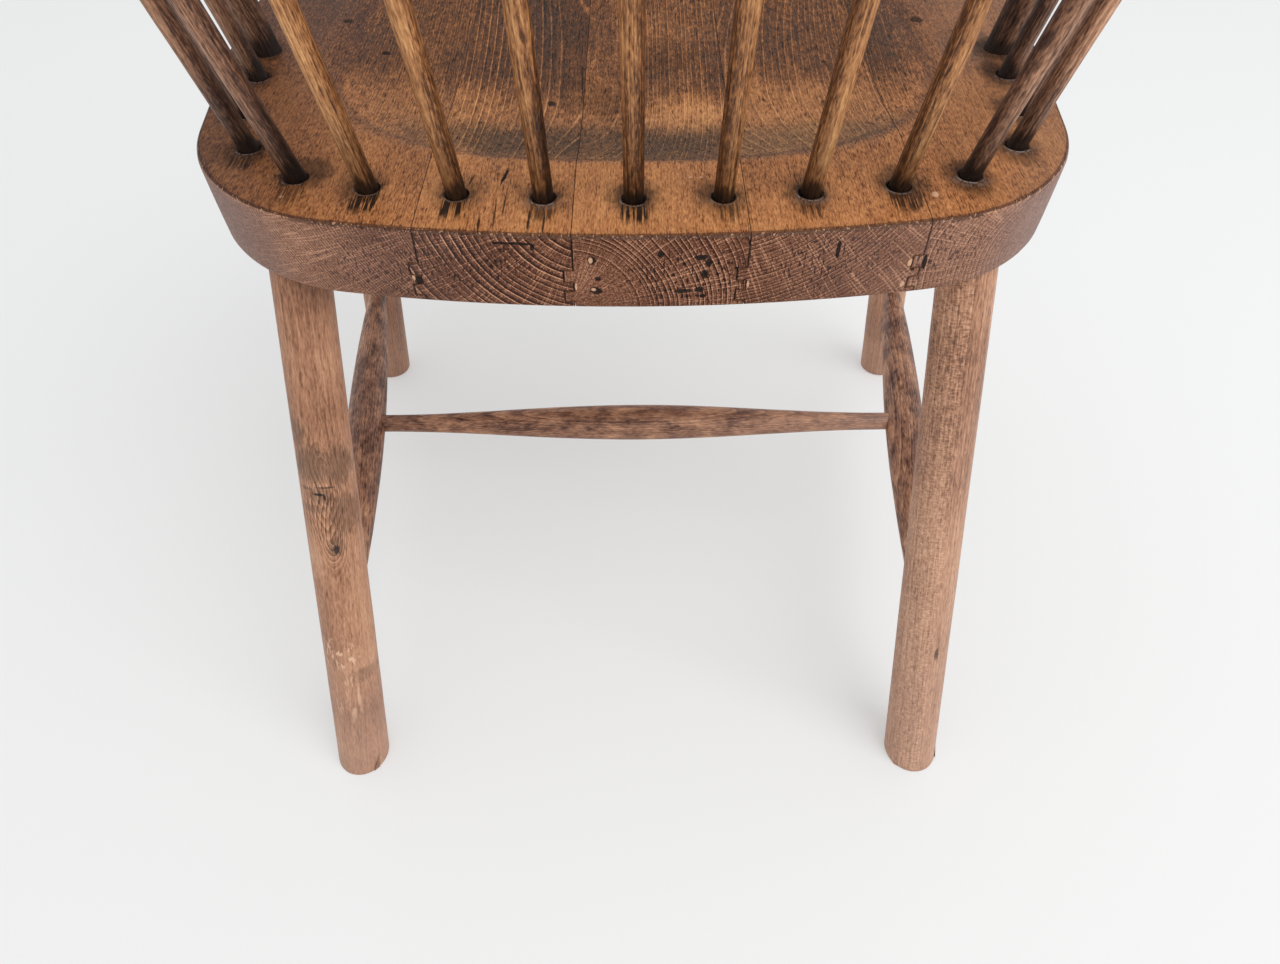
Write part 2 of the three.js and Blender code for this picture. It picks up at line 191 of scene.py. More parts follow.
def turnTo(start, end):
    return (end - start).to_track_quat("Z", "Y").to_matrix().to_4x4()


def placeOn(piece, start, end):
    piece.matrix_world = Matrix.Translation(start) @ turnTo(start, end)
    applyPlace(piece)


# A round rod standing at the origin, cut into rings, with its rings scaled to a profile. The
# profile gives the radius at a distance from the rod's lower end.
def addRod(name, length, sides, rings, radiusAt):
    deselectAll()
    bpy.ops.mesh.primitive_cylinder_add(
        vertices=sides, radius=radiusAt(0), depth=length, location=(0, 0, length / 2)
    )
    rod = bpy.context.object
    rod.name = name
    applyPlace(rod)
    editMode(rod)
    selectWhere(rod, "edges", lambda e: abs(e.verts[0].co.z - e.verts[1].co.z) > length / 2)
    bpy.ops.mesh.subdivide(number_cuts=rings - 1)
    for ring in range(1, rings + 1):
        height = length * ring / rings
        factor = radiusAt(height) / radiusAt(0)
        if abs(factor - 1) > 1e-4:
            selectWhere(rod, "verts", lambda v: abs(v.co.z - height) < 1e-5)
            bpy.ops.transform.resize(value=(factor, factor, 1), center_override=(0, 0, height))
    objectMode()
    return rod


# The seat's outline, a polygon whose corners are rounded by arcs. y is measured from the seat's
# rear edge and runs forward as it falls.
seat = {
    "height": 0.415,
    "tilt": 1.4,
    "thickness": 0.044,
    "halfWidth": 0.259,
    "depth": 0.440,
    "corners": [
        (0.2296, -0.0273, 0.107),
        (0.2590, -0.2680, 0.420),
        (0.2360, -0.4040, 0.070),
    ],
    "back": (0, 0.0136, 0.866),
    "front": (0, -0.4400, 0.900),
    "rimPoints": 360,
    "dishDepth": 0.013,
    "dishCentre": -0.200,
    "dishHalfWidth": 0.190,
    "dishBehind": 0.135,
    "dishAhead": 0.225,
    "dishSquareness": 2.6,
    "rearWall": 0.74,
    "frontWall": 0.85,
    "dishLip": 0.0006,
    "dishSweep": 1.9,
    "seams": [-0.145, -0.056, 0.030, 0.107],
    "fingers": [(0.020, 0.0275), (0.033, 0.040)],
    "fingerReach": 0.005,
    "glueGap": 0.0004,
}
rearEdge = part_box("seat_board_3")[1].y + 0.0002


def roundedRun(corners, closed):
    points = [Vector(corner[:2]) for corner in corners]
    count = len(corners)
    run = []
    for i, (x, y, radius) in enumerate(corners):
        if not closed and i in (0, count - 1):
            run.append(points[i])
            continue
        before = (points[i] - points[i - 1]).normalized()
        after = (points[(i + 1) % count] - points[i]).normalized()
        turn = math.atan2(before.x * after.y - before.y * after.x, before.dot(after))
        entry = points[i] - before * radius * math.tan(abs(turn) / 2)
        side = math.copysign(1, turn)
        centre = entry + Vector((-before.y, before.x)) * side * radius
        steps = max(4, int(abs(math.degrees(turn))))
        for step in range(steps + 1):
            angle = turn * step / steps
            arm = entry - centre
            cosine, sine = math.cos(angle), math.sin(angle)
            run.append(centre + Vector((arm.x * cosine - arm.y * sine, arm.x * sine + arm.y * cosine)))
    if closed:
        run.append(run[0])
    return run


def lengthsAlong(run):
    totals = [0.0]
    for a, b in zip(run, run[1:]):
        totals.append(totals[-1] + (b - a).length)
    return totals


def pointAlong(run, totals, distance):
    distance = min(max(distance, 0), totals[-1])
    i = min(max(int(np.searchsorted(totals, distance)) - 1, 0), len(run) - 2)
    share = (distance - totals[i]) / max(totals[i + 1] - totals[i], 1e-9)
    return run[i].lerp(run[i + 1], share)


def mirrored(corners):
    return [(-x, y, radius) for x, y, radius in reversed(corners)]


def seatRim():
    corners = [seat["back"], *seat["corners"], seat["front"], *mirrored(seat["corners"])]
    run = roundedRun(corners, True)
    totals = lengthsAlong(run)
    count = seat["rimPoints"]
    return [pointAlong(run, totals, totals[-1] * i / count) for i in range(count)]


# A line at set distances inside the seat's back and sides, from front to front round the back
def lineInside(insetBack, insetSide, cornerRadius):
    corners = [*mirrored(seat["corners"]), seat["back"], *seat["corners"]]
    points = [Vector(corner[:2]) for corner in corners]
    insets = [insetSide, insetSide, insetBack, insetBack, insetSide, insetSide]
    edges = []
    for i, inset in enumerate(insets):
        along = (points[i + 1] - points[i]).normalized()
        edges.append((points[i] + Vector((along.y, -along.x)) * inset, along))
    moved = []
    for i, point in enumerate(points):
        if i in (0, len(points) - 1):
            start, along = edges[min(i, len(edges) - 1)]
            moved.append(start if i == 0 else start + along * (points[i] - points[i - 1]).length)
            continue
        (startA, alongA), (startB, alongB) = edges[i - 1], edges[i]
        gap = startB - startA
        cross = alongA.x * alongB.y - alongA.y * alongB.x
        moved.append(startA + alongA * ((gap.x * alongB.y - gap.y * alongB.x) / cross))
    radii = [corner[2] for corner in corners]
    radii[2] = radii[4] = cornerRadius
    return roundedRun([(p.x, p.y, r) for p, r in zip(moved, radii)], False)


# Seat

seatPlace = Matrix.Translation((0, rearEdge, seat["height"])) @ Matrix.Rotation(
    math.radians(-seat["tilt"]), 4, "X"
)


def dishDepthAt(x, y):
    ahead = y - seat["dishCentre"]
    radius = math.hypot(x, ahead)
    if radius < 1e-6:
        return seat["dishDepth"]
    forward = (1 - ahead / radius) / 2
    wall = seat["rearWall"] + (seat["frontWall"] - seat["rearWall"]) * forward**2
    reach = seat["dishBehind"] if ahead > 0 else seat["dishAhead"]
    power = seat["dishSquareness"]
    sideways = abs(x) / radius / seat["dishHalfWidth"]
    lengthways = abs(ahead) / radius / reach
    rim = (sideways**power + lengthways**power) ** (-1 / power)
    share = (radius / rim - (1 - wall)) / wall
    if share <= 0:
        return seat["dishDepth"]
    rise = (seat["dishDepth"] + seat["dishLip"]) * min(share, 1) ** seat["dishSweep"]
    return max(seat["dishDepth"] - rise, 0)


def addSeatBlank():
    middle = Vector((0, -seat["depth"] / 2, 0))
    halfDepth = 0.215
    halfWidth = 0.256
    edge = [
        (0.0042, -0.0440), (0.0031, -0.0437), (0.0024, -0.0430), (0.0020, -0.0418),
        (0.0014, -0.0320), (0.0008, -0.0200), (0.0003, -0.0080), (0.0001, -0.0024),
        (0.0003, -0.0015), (0.0008, -0.0007), (0.0015, -0.0002), (0.0024, 0.0),
    ]
    inner = [(0.0024 + 0.2040 * (step / 54) ** 1.05, 0.0) for step in range(1, 55)]
    rings = edge + inner
    deselectAll()
    bpy.ops.mesh.primitive_circle_add(vertices=seat["rimPoints"], fill_type="NGON", radius=1)
    blank = bpy.context.object
    for vertex, point in zip(blank.data.vertices, seatRim()):
        scale = Vector((1 - edge[0][0] / halfWidth, 1 - edge[0][0] / halfDepth))
        offset = point - middle.xy
        vertex.co = Vector((offset.x * scale.x, middle.y + offset.y * scale.y, edge[0][1]))
    editMode(blank)
    bpy.ops.mesh.select_all(action="SELECT")
    for (insetBefore, heightBefore), (inset, height) in zip(rings, rings[1:]):
        ratioX = (1 - inset / halfWidth) / (1 - insetBefore / halfWidth)
        ratioY = (1 - inset / halfDepth) / (1 - insetBefore / halfDepth)
        bpy.ops.mesh.extrude_region_move(
            TRANSFORM_OT_translate={"value": (0, 0, height - heightBefore)}
        )
        bpy.ops.transform.resize(value=(ratioX, ratioY, 1), center_override=tuple(middle))
    bpy.ops.mesh.select_all(action="SELECT")
    bpy.ops.mesh.normals_make_consistent(inside=False)
    objectMode()
    for vertex in blank.data.vertices:
        if vertex.co.z > -1e-5:
            vertex.co.z -= dishDepthAt(vertex.co.x, vertex.co.y)
    blank.matrix_world = seatPlace
    applyPlace(blank)
    return blank


# The edge of a board at a glue line, with its fingers on the board on the -X side
def seamEdge(seam, side):
    slack = side * seat["glueGap"] / 2
    reach = seat["fingerReach"]
    points = [(seam + slack, 0.010)]
    for top, bottom in seat["fingers"]:
        points += [(seam + slack, slack - top), (seam + slack + reach, slack - top)]
        points += [(seam + slack + reach, -slack - bottom), (seam + slack, -slack - bottom)]
    return points + [(seam + slack, -0.054)]


def addBoardTool(number):
    outer = seat["halfWidth"] + 0.010
    seams = seat["seams"]
    low = [(-outer, 0.010), (-outer, -0.054)] if number == 0 else seamEdge(seams[number - 1], 1)
    high = [(outer, 0.010), (outer, -0.054)] if number == 4 else seamEdge(seams[number], -1)
    outline = low + list(reversed(high))
    curve = bpy.data.curves.new("boardTool", "CURVE")
    curve.dimensions = "2D"
    curve.fill_mode = "BOTH"
    curve.extrude = 0.250
    spline = curve.splines.new("POLY")
    spline.points.add(len(outline) - 1)
    for point, (x, z) in zip(spline.points, outline):
        point.co = (x, z, 0, 1)
    spline.use_cyclic_u = True
    tool = bpy.data.objects.new("boardTool", curve)
    bpy.context.scene.collection.objects.link(tool)
    makeActive(tool)
    bpy.ops.object.convert(target="MESH")
    tool = bpy.context.object
    tool.matrix_world = seatPlace @ Matrix.Translation((0, -0.215, 0)) @ Matrix.Rotation(math.pi / 2, 4, "X")
    applyPlace(tool)
    editMode(tool)
    bpy.ops.mesh.select_all(action="SELECT")
    bpy.ops.mesh.remove_doubles(threshold=1e-6)
    bpy.ops.mesh.normals_make_consistent(inside=False)
    objectMode()
    return tool


# Sticks and posts. A stick is 12 mm thick up to the arm bow, and the long ones taper from there.
stick = {
    "radius": 0.006, "topRadius": 0.005, "neckRadius": 0.0051, "neckLength": 0.200,
    "sides": 40, "rings": 26, "socket": 0.0003,
}
armHeight = 0.640
longSticks = ["back_stick_middle"]
longSticks += [f"back_stick_{side}_{n}" for side in ("left", "right") for n in (1, 2, 3, 4)]
shortSticks = [f"side_stick_{side}_{n}" for side in ("left", "right") for n in (1, 2, 3)]
posts = ["arm_post_left", "arm_post_right"]


def addStick(node, extra=0.0):
    low, high = endsOf(node)
    length = (high - low).length
    straight = length * (armHeight - low.z) / (high.z - low.z)

    def radiusAt(height):
        fine = max(0, height - straight) / max(length - straight, 1e-6)
        top = stick["topRadius"] if node in longSticks else stick["radius"]
        radius = stick["radius"] + (top - stick["radius"]) * min(fine, 1)
        if extra:
            return radius + extra
        worn = max(0, 1 - max(0, height - 0.017) / stick["neckLength"])
        return radius - (stick["radius"] - stick["neckRadius"]) * worn

    sides = 20 if extra else stick["sides"]
    rod = addRod(node.replace("_", ""), length + 2 * extra, sides, stick["rings"], radiusAt)
    if not extra:
        workByHand(rod)
    shift = (high - low).normalized() * extra
    placeOn(rod, low - shift, high + shift)
    return rod


post = {"radius": 0.0085, "swell": 0.0035, "seatTenon": 0.024, "armTenon": 0.014, "sides": 48, "rings": 30}


def addPost(node, extra=0.0):
    low, high = endsOf(node)
    length = (high - low).length
    free = length - post["seatTenon"] - post["armTenon"]

    def radiusAt(height):
        share = min(max((height - post["seatTenon"]) / free, 0), 1)
        return post["radius"] + post["swell"] * math.sin(math.pi * share) + extra

    rod = addRod(node.replace("_", ""), length + 2 * extra, 24 if extra else post["sides"], post["rings"], radiusAt)
    if not extra:
        workByHand(rod)
    shift = (high - low).normalized() * extra
    placeOn(rod, low - shift, high + shift)
    return rod


# Legs

leg = {"footRadius": 0.01865, "headRadius": 0.0159, "sides": 72, "rings": 24, "footEdge": 0.0016}


def addLeg(node, extra=0.0):
    foot, head = legEndsOf(node)
    below = 0.0 if extra else 0.020
    length = (head - foot).length

    def radiusAt(height):
        share = (height - below) / length
        return leg["footRadius"] + (leg["headRadius"] - leg["footRadius"]) * share + extra

    along = (head - foot).normalized()
    rod = addRod(node.replace("_", ""), length + below + extra, leg["sides"], leg["rings"], radiusAt)
    if not extra:
        workByHand(rod)
    placeOn(rod, foot - along * below, head + along * extra)
    if not extra:
        editMode(rod)
        bpy.ops.mesh.select_all(action="SELECT")
        bpy.ops.mesh.bisect(plane_co=(0, 0, 0), plane_no=(0, 0, 1), use_fill=True, clear_inner=True)
        selectWhere(rod, "edges", lambda e: max(abs(v.co.z) for v in e.verts) < 1e-5)
        bpy.ops.mesh.bevel(offset=leg["footEdge"], segments=4, affect="EDGES")
        objectMode()
    return rod


# Stretchers

stretcher = {"endRadius": 0.007, "radius": 0.0155, "crossRadius": 0.0145, "sides": 48, "rings": 40, "socket": 0.0003}
stretcherTenons = {"side": 0.023, "cross": 0.017}
crossSwell = 0.420


def addStretcher(node, kind, extra=0.0):
    low, high = endsOf(node)
    length = (high - low).length
    tenon = stretcherTenons[kind]
    free = length - 2 * tenon

    def radiusAt(height):
        share = min(max((height - tenon) / free, 0), 1)
        swell = math.sin(math.pi * share)
        if kind == "cross":
            fromMiddle = abs(share - 0.5) * free
            swell = math.cos(math.pi / 2 * min(1, 2 * fromMiddle / crossSwell)) ** 2
        widest = stretcher["crossRadius"] if kind == "cross" else stretcher["radius"]
        return stretcher["endRadius"] + (widest - stretcher["endRadius"]) * swell + extra

    rod = addRod(node.replace("_", ""), length + 2 * extra, stretcher["sides"], stretcher["rings"], radiusAt)
    if not extra:
        workByHand(rod)
    shift = (high - low).normalized() * extra
    placeOn(rod, low - shift, high + shift)
    return rod


# Bows

arm = {
    "outsetBack": 0.0111, "outsetSide": 0.0309, "cornerRadius": 0.104,
    "halfWidth": 0.017, "halfThickness": 0.011, "reach": 0.453, "points": 160,
}
hoop = {
    "radius": 0.011, "footPlace": 0.243, "bulge": 0.018, "rise": 0.303, "lean": 20.5,
    "tenonRadius": 0.0075, "tenon": 0.014, "points": 160,
}


def addBow(name, points, radii, section):
    curve = bpy.data.curves.new(name, "CURVE")
    curve.dimensions = "3D"
    curve.twist_mode = "Z_UP"
    spline = curve.splines.new("POLY")
    spline.points.add(len(points) - 1)
    for item, point, radius in zip(spline.points, points, radii):
        item.co = (*point, 1)
        item.radius = radius
    halfWidth, halfThickness = section
    deselectAll()
    bpy.ops.curve.primitive_nurbs_circle_add(radius=1)
    ring = bpy.context.object
    ring.data.resolution_u = 8
    ring.scale = (halfWidth, halfThickness, 1)
    applyPlace(ring)
    curve.bevel_mode = "OBJECT"
    curve.bevel_object = ring
    curve.use_fill_caps = True
    bow = bpy.data.objects.new(name, curve)
    bpy.context.scene.collection.objects.link(bow)
    makeActive(bow)
    bpy.ops.object.convert(target="MESH")
    bow = bpy.context.object
    remove([ring])
    editMode(bow)
    bpy.ops.mesh.select_all(action="SELECT")
    bpy.ops.mesh.remove_doubles(threshold=1e-6)
    bpy.ops.mesh.normals_make_consistent(inside=False)
    objectMode()
    return bow


armRun = lineInside(-arm["outsetBack"], -arm["outsetSide"], arm["cornerRadius"])
armLengths = lengthsAlong(armRun)


def armPoint(distance):
    flat = pointAlong(armRun, armLengths, armLengths[-1] / 2 + distance)
    return Vector((flat.x, flat.y + rearEdge, armHeight))


def addArmBow(extra=0.0):
    reach = arm["reach"]
    end = reach - arm["halfWidth"]
    points, radii = [], []
    for step in range(arm["points"] + 1):
        swing = math.sin(math.pi / 2 * (2 * step / arm["points"] - 1))
        distance = reach * (0.5 * swing + 0.5 * (2 * step / arm["points"] - 1))
        past = max(0, abs(distance) - end) / arm["halfWidth"]
        points.append(armPoint(distance))
        radii.append(max(math.sqrt(max(1 - past**2, 0)), 0.02))
    return addBow("armBow", points, radii, (arm["halfWidth"] + extra, arm["halfThickness"] + extra))


hoopFoot = armPoint(hoop["footPlace"])
hoopHalfWidth = hoopFoot.x + hoop["bulge"]
hoopEnd = math.pi - math.asin(hoopFoot.x / hoopHalfWidth)
hoopHalfHeight = hoop["rise"] / (1 - math.cos(hoopEnd))


def hoopPoint(angle):
    up = hoop["rise"] - hoopHalfHeight + hoopHalfHeight * math.cos(angle)
    lean = math.radians(hoop["lean"])
    top = armHeight + arm["halfThickness"]
    return Vector((hoopHalfWidth * math.sin(angle), hoopFoot.y + up * math.sin(lean), top + up * math.cos(lean)))


def addTopBow():
    past = 0.010 / hoopHalfHeight
    count = hoop["points"]
    points = [hoopPoint((2 * i / count - 1) * (hoopEnd + past)) for i in range(count + 1)]
    return addBow("topBow", points, [1] * (count + 1), (hoop["radius"], hoop["radius"]))


def addHoopTenon(sign, extra=0.0):
    foot = hoopPoint(sign * hoopEnd)
    above = hoopPoint(sign * (hoopEnd - 0.010 / hoopHalfHeight))
    along = (above - foot).normalized()
    end = foot - along * (hoop["tenon"] / along.z + extra)
    length = (above - end).length
    rod = addRod("hoopTenon", length, 32, 4, lambda height: hoop["tenonRadius"] + extra)
    placeOn(rod, end, above)
    return rod


# Small helpers for shader nodes. A Wire carries one socket, and arithmetic on it adds Math nodes.


class Wire:
    def __init__(self, shader, socket):
        self.shader = shader
        self.socket = socket

    def math(self, operation, *others):
        return self.shader.math(operation, self, *others)

    def __add__(self, other):
        return self.math("ADD", other)

    def __radd__(self, other):
        return self.math("ADD", other)

    def __sub__(self, other):
        return self.math("SUBTRACT", other)

    def __rsub__(self, other):
        return self.shader.math("SUBTRACT", other, self)

    def __mul__(self, other):
        return self.math("MULTIPLY", other)

    def __rmul__(self, other):
        return self.math("MULTIPLY", other)

    def __truediv__(self, other):
        return self.math("DIVIDE", other)

    def __rtruediv__(self, other):
        return self.shader.math("DIVIDE", other, self)

    def __pow__(self, other):
        return self.math("POWER", other)


def paint(red, green, blue):
    shares = [value / 255 for value in (red, green, blue)]
    linear = [s / 12.92 if s < 0.04045 else ((s + 0.055) / 1.055) ** 2.4 for s in shares]
    return (*linear, 1)


class Shader:
    def __init__(self, name):
        self.material = bpy.data.materials.new(name)
        self.material.use_nodes = True
        self.tree = self.material.node_tree
        self.surface = self.tree.nodes["Principled BSDF"]

    def node(self, kind, settings, inputs, output=0):
        made = self.tree.nodes.new("ShaderNode" + kind)
        for name, value in settings.items():
            if name == "stops":
                self.setStops(made.color_ramp, value)
            else:
                setattr(made, name, value)
        for key, value in inputs.items():
            if isinstance(value, Wire):
                self.tree.links.new(value.socket, made.inputs[key])
            else:
                made.inputs[key].default_value = value
        return Wire(self, made.outputs[output])

    def setStops(self, ramp, stops):
        while len(ramp.elements) < len(stops):
            ramp.elements.new(0.5)
        for element, (place, colour) in zip(ramp.elements, stops):
            element.position = place
            element.color = colour

    def math(self, operation, *values):
        return self.node("Math", {"operation": operation}, dict(enumerate(values)))

    def split(self, vector):
        made = self.node("SeparateXYZ", {}, {0: vector}).socket.node
        return [Wire(self, socket) for socket in made.outputs]

    def vector(self, x, y, z):
        return self.node("CombineXYZ", {}, {0: x, 1: y, 2: z})

    def stretch(self, vector, scale, shift=(0, 0, 0)):
        return self.node("VectorMath", {"operation": "MULTIPLY_ADD"}, {0: vector, 1: scale, 2: shift})

    def noise(self, vector, detail=2.0, roughness=0.5):
        return self.node("TexNoise", {}, {"Vector": vector, "Scale": 1, "Detail": detail, "Roughness": roughness})

    def rise(self, value, low, high):
        settings = {"interpolation_type": "SMOOTHSTEP"}
        return self.node("MapRange", settings, {"Value": value, "From Min": low, "From Max": high})

    def band(self, value, low, high, soft):
        return self.rise(value, low - soft, low) * self.rise(value, high + soft, high)

    def ramp(self, value, stops):
        return self.node("ValToRGB", {"stops": stops}, {"Fac": value})

    def mix(self, first, second, factor):
        return self.node("Mix", {"data_type": "RGBA"}, {0: factor, 6: first, 7: second}, 2)

    def place(self, start, matrix):
        turn = tuple(matrix.to_euler("XYZ"))
        point = self.node("TexCoord", {}, {}, 3)
        settings = {"vector_type": "TEXTURE"}
        return self.node("Mapping", settings, {"Vector": point, "Location": tuple(start), "Rotation": turn})

    def spot(self, point, centre, size, turn=0.0):
        inputs = {"Vector": point, "Location": centre, "Rotation": (0, 0, turn), "Scale": size}
        inside = self.node("Mapping", {"vector_type": "TEXTURE"}, inputs)
        return self.node("VectorMath", {"operation": "LENGTH"}, {0: inside}, 1)

    def finish(self, colour, roughness, height, depth):
        self.tree.links.new(colour.socket, self.surface.inputs["Base Color"])
        self.tree.links.new(roughness.socket, self.surface.inputs["Roughness"])
        bump = self.node("Bump", {}, {"Strength": 1.0, "Distance": depth, "Height": height})
        self.tree.links.new(bump.socket, self.surface.inputs["Normal"])
        return self.material


# Wood in the round. Growth rings lie about a pith line that runs along the piece, rays run out
# from it, and pores run beside it. x and y lie across the piece and z along it.


def addWood(shader, x, y, z, wood):
    seed = wood["seed"]
    point = shader.vector(x, y, z)
    slow = shader.noise(shader.stretch(point, (16, 16, 2.5), (seed, seed, seed)), 1)
    wave = shader.noise(shader.stretch(point, (70, 70, 9), (seed, 0, seed)), 2)
    across = x - wood["pith"][0] + z * wood["lean"][0] + (slow - 0.5) * wood["drift"]
    upward = y - wood["pith"][1] + z * wood["lean"][1] + (wave - 0.5) * wood["waver"]
    stirred = shader.math("ADD", 1.0, 0.0)
    if "knots" in wood:
        stirred = stirred * 0.16
        for centre, size, push in wood["knots"]:
            near = shader.rise(shader.spot(point, centre, size), 1, 0)
            upward = upward + near * push
            stirred = stirred + near * 0.9
    radius = (across * across + upward * upward) ** 0.5
    angle = upward.math("ARCTAN2", across)
    pace = shader.noise(shader.vector(radius * wood["pace"], seed, 0), 1)
    phase = radius / wood["spacing"] + (pace - 0.5) * 1.6
    ring = phase.math("FRACT")
    strength = shader.noise(shader.vector(phase.math("FLOOR") * 7.31, seed, 0), 0)
    core = wood.get("core", 0.0)
    strength = shader.rise(strength, 0.16, 0.60) * shader.rise(radius, core * 0.4, core + 0.0001) * stirred
    sheet = shader.vector(radius * 26, angle * wood["rays"] * 1.5 + seed, z * 150)
    ray = shader.noise(sheet, 0)
    fine = shader.vector(radius * 90, angle * wood["rays"] * 2.6, z * 330)
    fleck = shader.noise(fine, 1)
    pore = shader.noise(shader.stretch(point, (1300, 1300, 100)), 1)
    streak = shader.noise(shader.stretch(point, (520, 520, 14), (seed, seed, 0)), 2)
    blotch = shader.noise(shader.stretch(point, (22, 22, 8), (seed, 3, seed)), 3, 0.6)
    return {
        "point": point, "ring": ring, "phase": phase, "radius": radius, "angle": angle,
        "ray": shader.rise(ray, 0.60, 0.68), "fleck": shader.rise(fleck, 0.5, 0.72),
        "pore": shader.rise(pore, 0.56, 0.72), "streak": streak, "blotch": blotch,
        "late": shader.rise(ring, 0.25, 0.70) * shader.rise(ring, 0.82, 0.74) * strength,
        "line": shader.rise(ring, 0.80, 0.87) * shader.rise(ring, 1.0, 0.95) * strength,
    }


# Seat wood. Each board has its own pith, which its end grain in the rear edge and the lines on its
# top surface both follow.

boards = {
    "seat_board_5": {
        "pith": (0.000, 0.045), "spacing": 0.0016, "lean": (0.03, 0.0), "seed": 1.7, "rays": 170,
        "drift": 0.010, "waver": 0.0012, "pace": 130, "lines": 0.7, "tone": 0.05, "dish": 0.04, "dashes": (0.125, -0.024),
        "core": 0.024, "end": 0.04, "fore": 0.16, "wall": 0.15,
    },
    "seat_board_4": {
        "pith": (0.020, 0.015), "spacing": 0.0037, "lean": (0.035, 0.010), "seed": 5.2, "rays": 62,
        "drift": 0.009, "waver": 0.0010, "pace": 60, "lines": 1.15, "tone": 0.07, "dish": 0.05, "dashes": (0.085, -0.020),
        "core": 0.024, "end": -0.01, "fore": 0.22, "wall": 0.26,
    },
    "seat_board_3": {
        "pith": (0.033, -0.043), "spacing": 0.0025, "lean": (-0.02, 0.012), "seed": 8.4, "rays": 60,
        "drift": 0.010, "waver": 0.0012, "pace": 110, "lines": 0.80, "tone": 0.07, "dish": 0.13, "dashes": (-0.030, -0.025),
        "core": 0.046, "end": 0.01, "fore": 0.08, "wall": 0.18,
    },
    "seat_board_2": {
        "pith": (-0.020, 0.104), "spacing": 0.0021, "lean": (-0.03, -0.010), "seed": 3.3, "rays": 120,
        "drift": 0.010, "waver": 0.0012, "pace": 90, "lines": 0.6, "tone": 0.06, "dish": 0.02, "dashes": (-0.098, -0.020),
        "core": 0.024, "end": 0.03, "fore": 0.16, "wall": 0.06,
    },
    "seat_board_1": {
        "pith": (-0.211, -0.033), "spacing": 0.0025, "lean": (-0.045, 0.006), "seed": 6.9, "rays": 50,
        "drift": 0.010, "waver": 0.0012, "pace": 90, "lines": 0.6, "tone": 0.02, "dish": 0.05, "dashes": (-0.150, -0.020),
        "core": 0.024, "end": 0.03, "fore": 0.14, "wall": 0.06,
    },
}

# Marks of wear, measured on the seat's own plane: x to the sitter's left, y forward as it falls
# from the rear edge, z up from the top. Each has a centre, a size, a turn and a strength.
topMarks = {
    "seat_board_1": [((-0.185, -0.246, 0), (0.0040, 0.0050, 1), 0.3, 0.8), ((-0.1435, -0.030, 0), (0.0020, 0.0130, 1), -0.12, 0.9)],
    "seat_board_2": [((-0.120, -0.205, 0), (0.0016, 0.0020, 1), 0.0, 0.7), ((-0.078, -0.160, 0), (0.0010, 0.0026, 1), 0.2, 0.7), ((-0.1425, -0.032, 0), (0.0016, 0.0110, 1), -0.12, 0.8)],
    "seat_board_3": [((0.019, -0.160, 0), (0.013, 0.026, 1), 0.2, 0.34), ((-0.020, -0.225, 0), (0.020, 0.030, 1), 0.0, 0.26)],
    "seat_board_4": [
        ((0.066, -0.055, 0), (0.0010, 0.0085, 1), -0.18, 1.0), ((0.083, -0.050, 0), (0.0008, 0.0055, 1), -0.2, 0.9),
        ((0.049, -0.158, 0), (0.0030, 0.0038, 1), 0.0, 0.85), ((0.075, -0.012, 0), (0.0006, 0.0090, 1), 0.05, 0.9),
        ((0.068, -0.020, 0), (0.0005, 0.0140, 1), 0.02, 0.8), ((0.064, -0.030, 0), (0.0005, 0.0120, 1), -0.03, 0.8),
        ((0.0510, -0.013, 0), (0.0007, 0.0110, 1), 0.0, 0.9), ((0.0436, -0.013, 0), (0.0006, 0.0100, 1), 0.0, 0.9),
        ((0.036, -0.168, 0), (0.010, 0.030, 1), 0.0, 0.28), ((0.0315, -0.184, 0), (0.0006, 0.022, 1), 0.05, 0.8),
    ],
    "seat_board_5": [((0.155, -0.209, 0), (0.0032, 0.0030, 1), 0.0, 0.9), ((0.185, -0.246, 0), (0.0032, 0.0036, 1), 0.0, 0.8)],
}

# Small pale chips in the top
topChips = {
    "seat_board_1": [((-0.1510, -0.036, 0), (0.0020, 0.0028, 1)), ((-0.1760, -0.045, 0), (0.0012, 0.0016, 1))],
    "seat_board_3": [((-0.0290, -0.053, 0), (0.0010, 0.0009, 1)), ((-0.0345, -0.053, 0), (0.0009, 0.0008, 1))],
    "seat_board_5": [((0.1760, -0.036, 0), (0.0012, 0.0014, 1))],
}

# Pits, cracks and filled holes in the end grain of the rear edge: x and height, then half sizes
pits = {
    "seat_board_5": [((0.109, -0.029), (0.0028, 0.0045)), ((0.1075, -0.036), (0.0022, 0.0032))],
    "seat_board_4": [((0.058, -0.005), (0.0110, 0.0007)), ((0.049, -0.0065), (0.0010, 0.0022))],
    "seat_board_3": [
        ((-0.033, -0.0125), (0.0032, 0.0016)), ((-0.0365, -0.0160), (0.0018, 0.0026)), ((-0.035, -0.0230), (0.0018, 0.0030)),
        ((-0.024, -0.0330), (0.0050, 0.0013)), ((-0.0325, -0.0325), (0.0026, 0.0018)), ((-0.0345, -0.0365), (0.0018, 0.0012)),
        ((-0.013, -0.0104), (0.0014, 0.0018)), ((0.0180, -0.0250), (0.0014, 0.0011)), ((0.0205, -0.0140), (0.0020, 0.0022)),
        ((0.0195, -0.0324), (0.0030, 0.0024)),
    ],
    "seat_board_2": [((-0.100, -0.012), (0.0011, 0.0050)), ((-0.141, -0.026), (0.0014, 0.0035))],
    "seat_board_1": [((-0.1465, -0.025), (0.0012, 0.0050))],
}
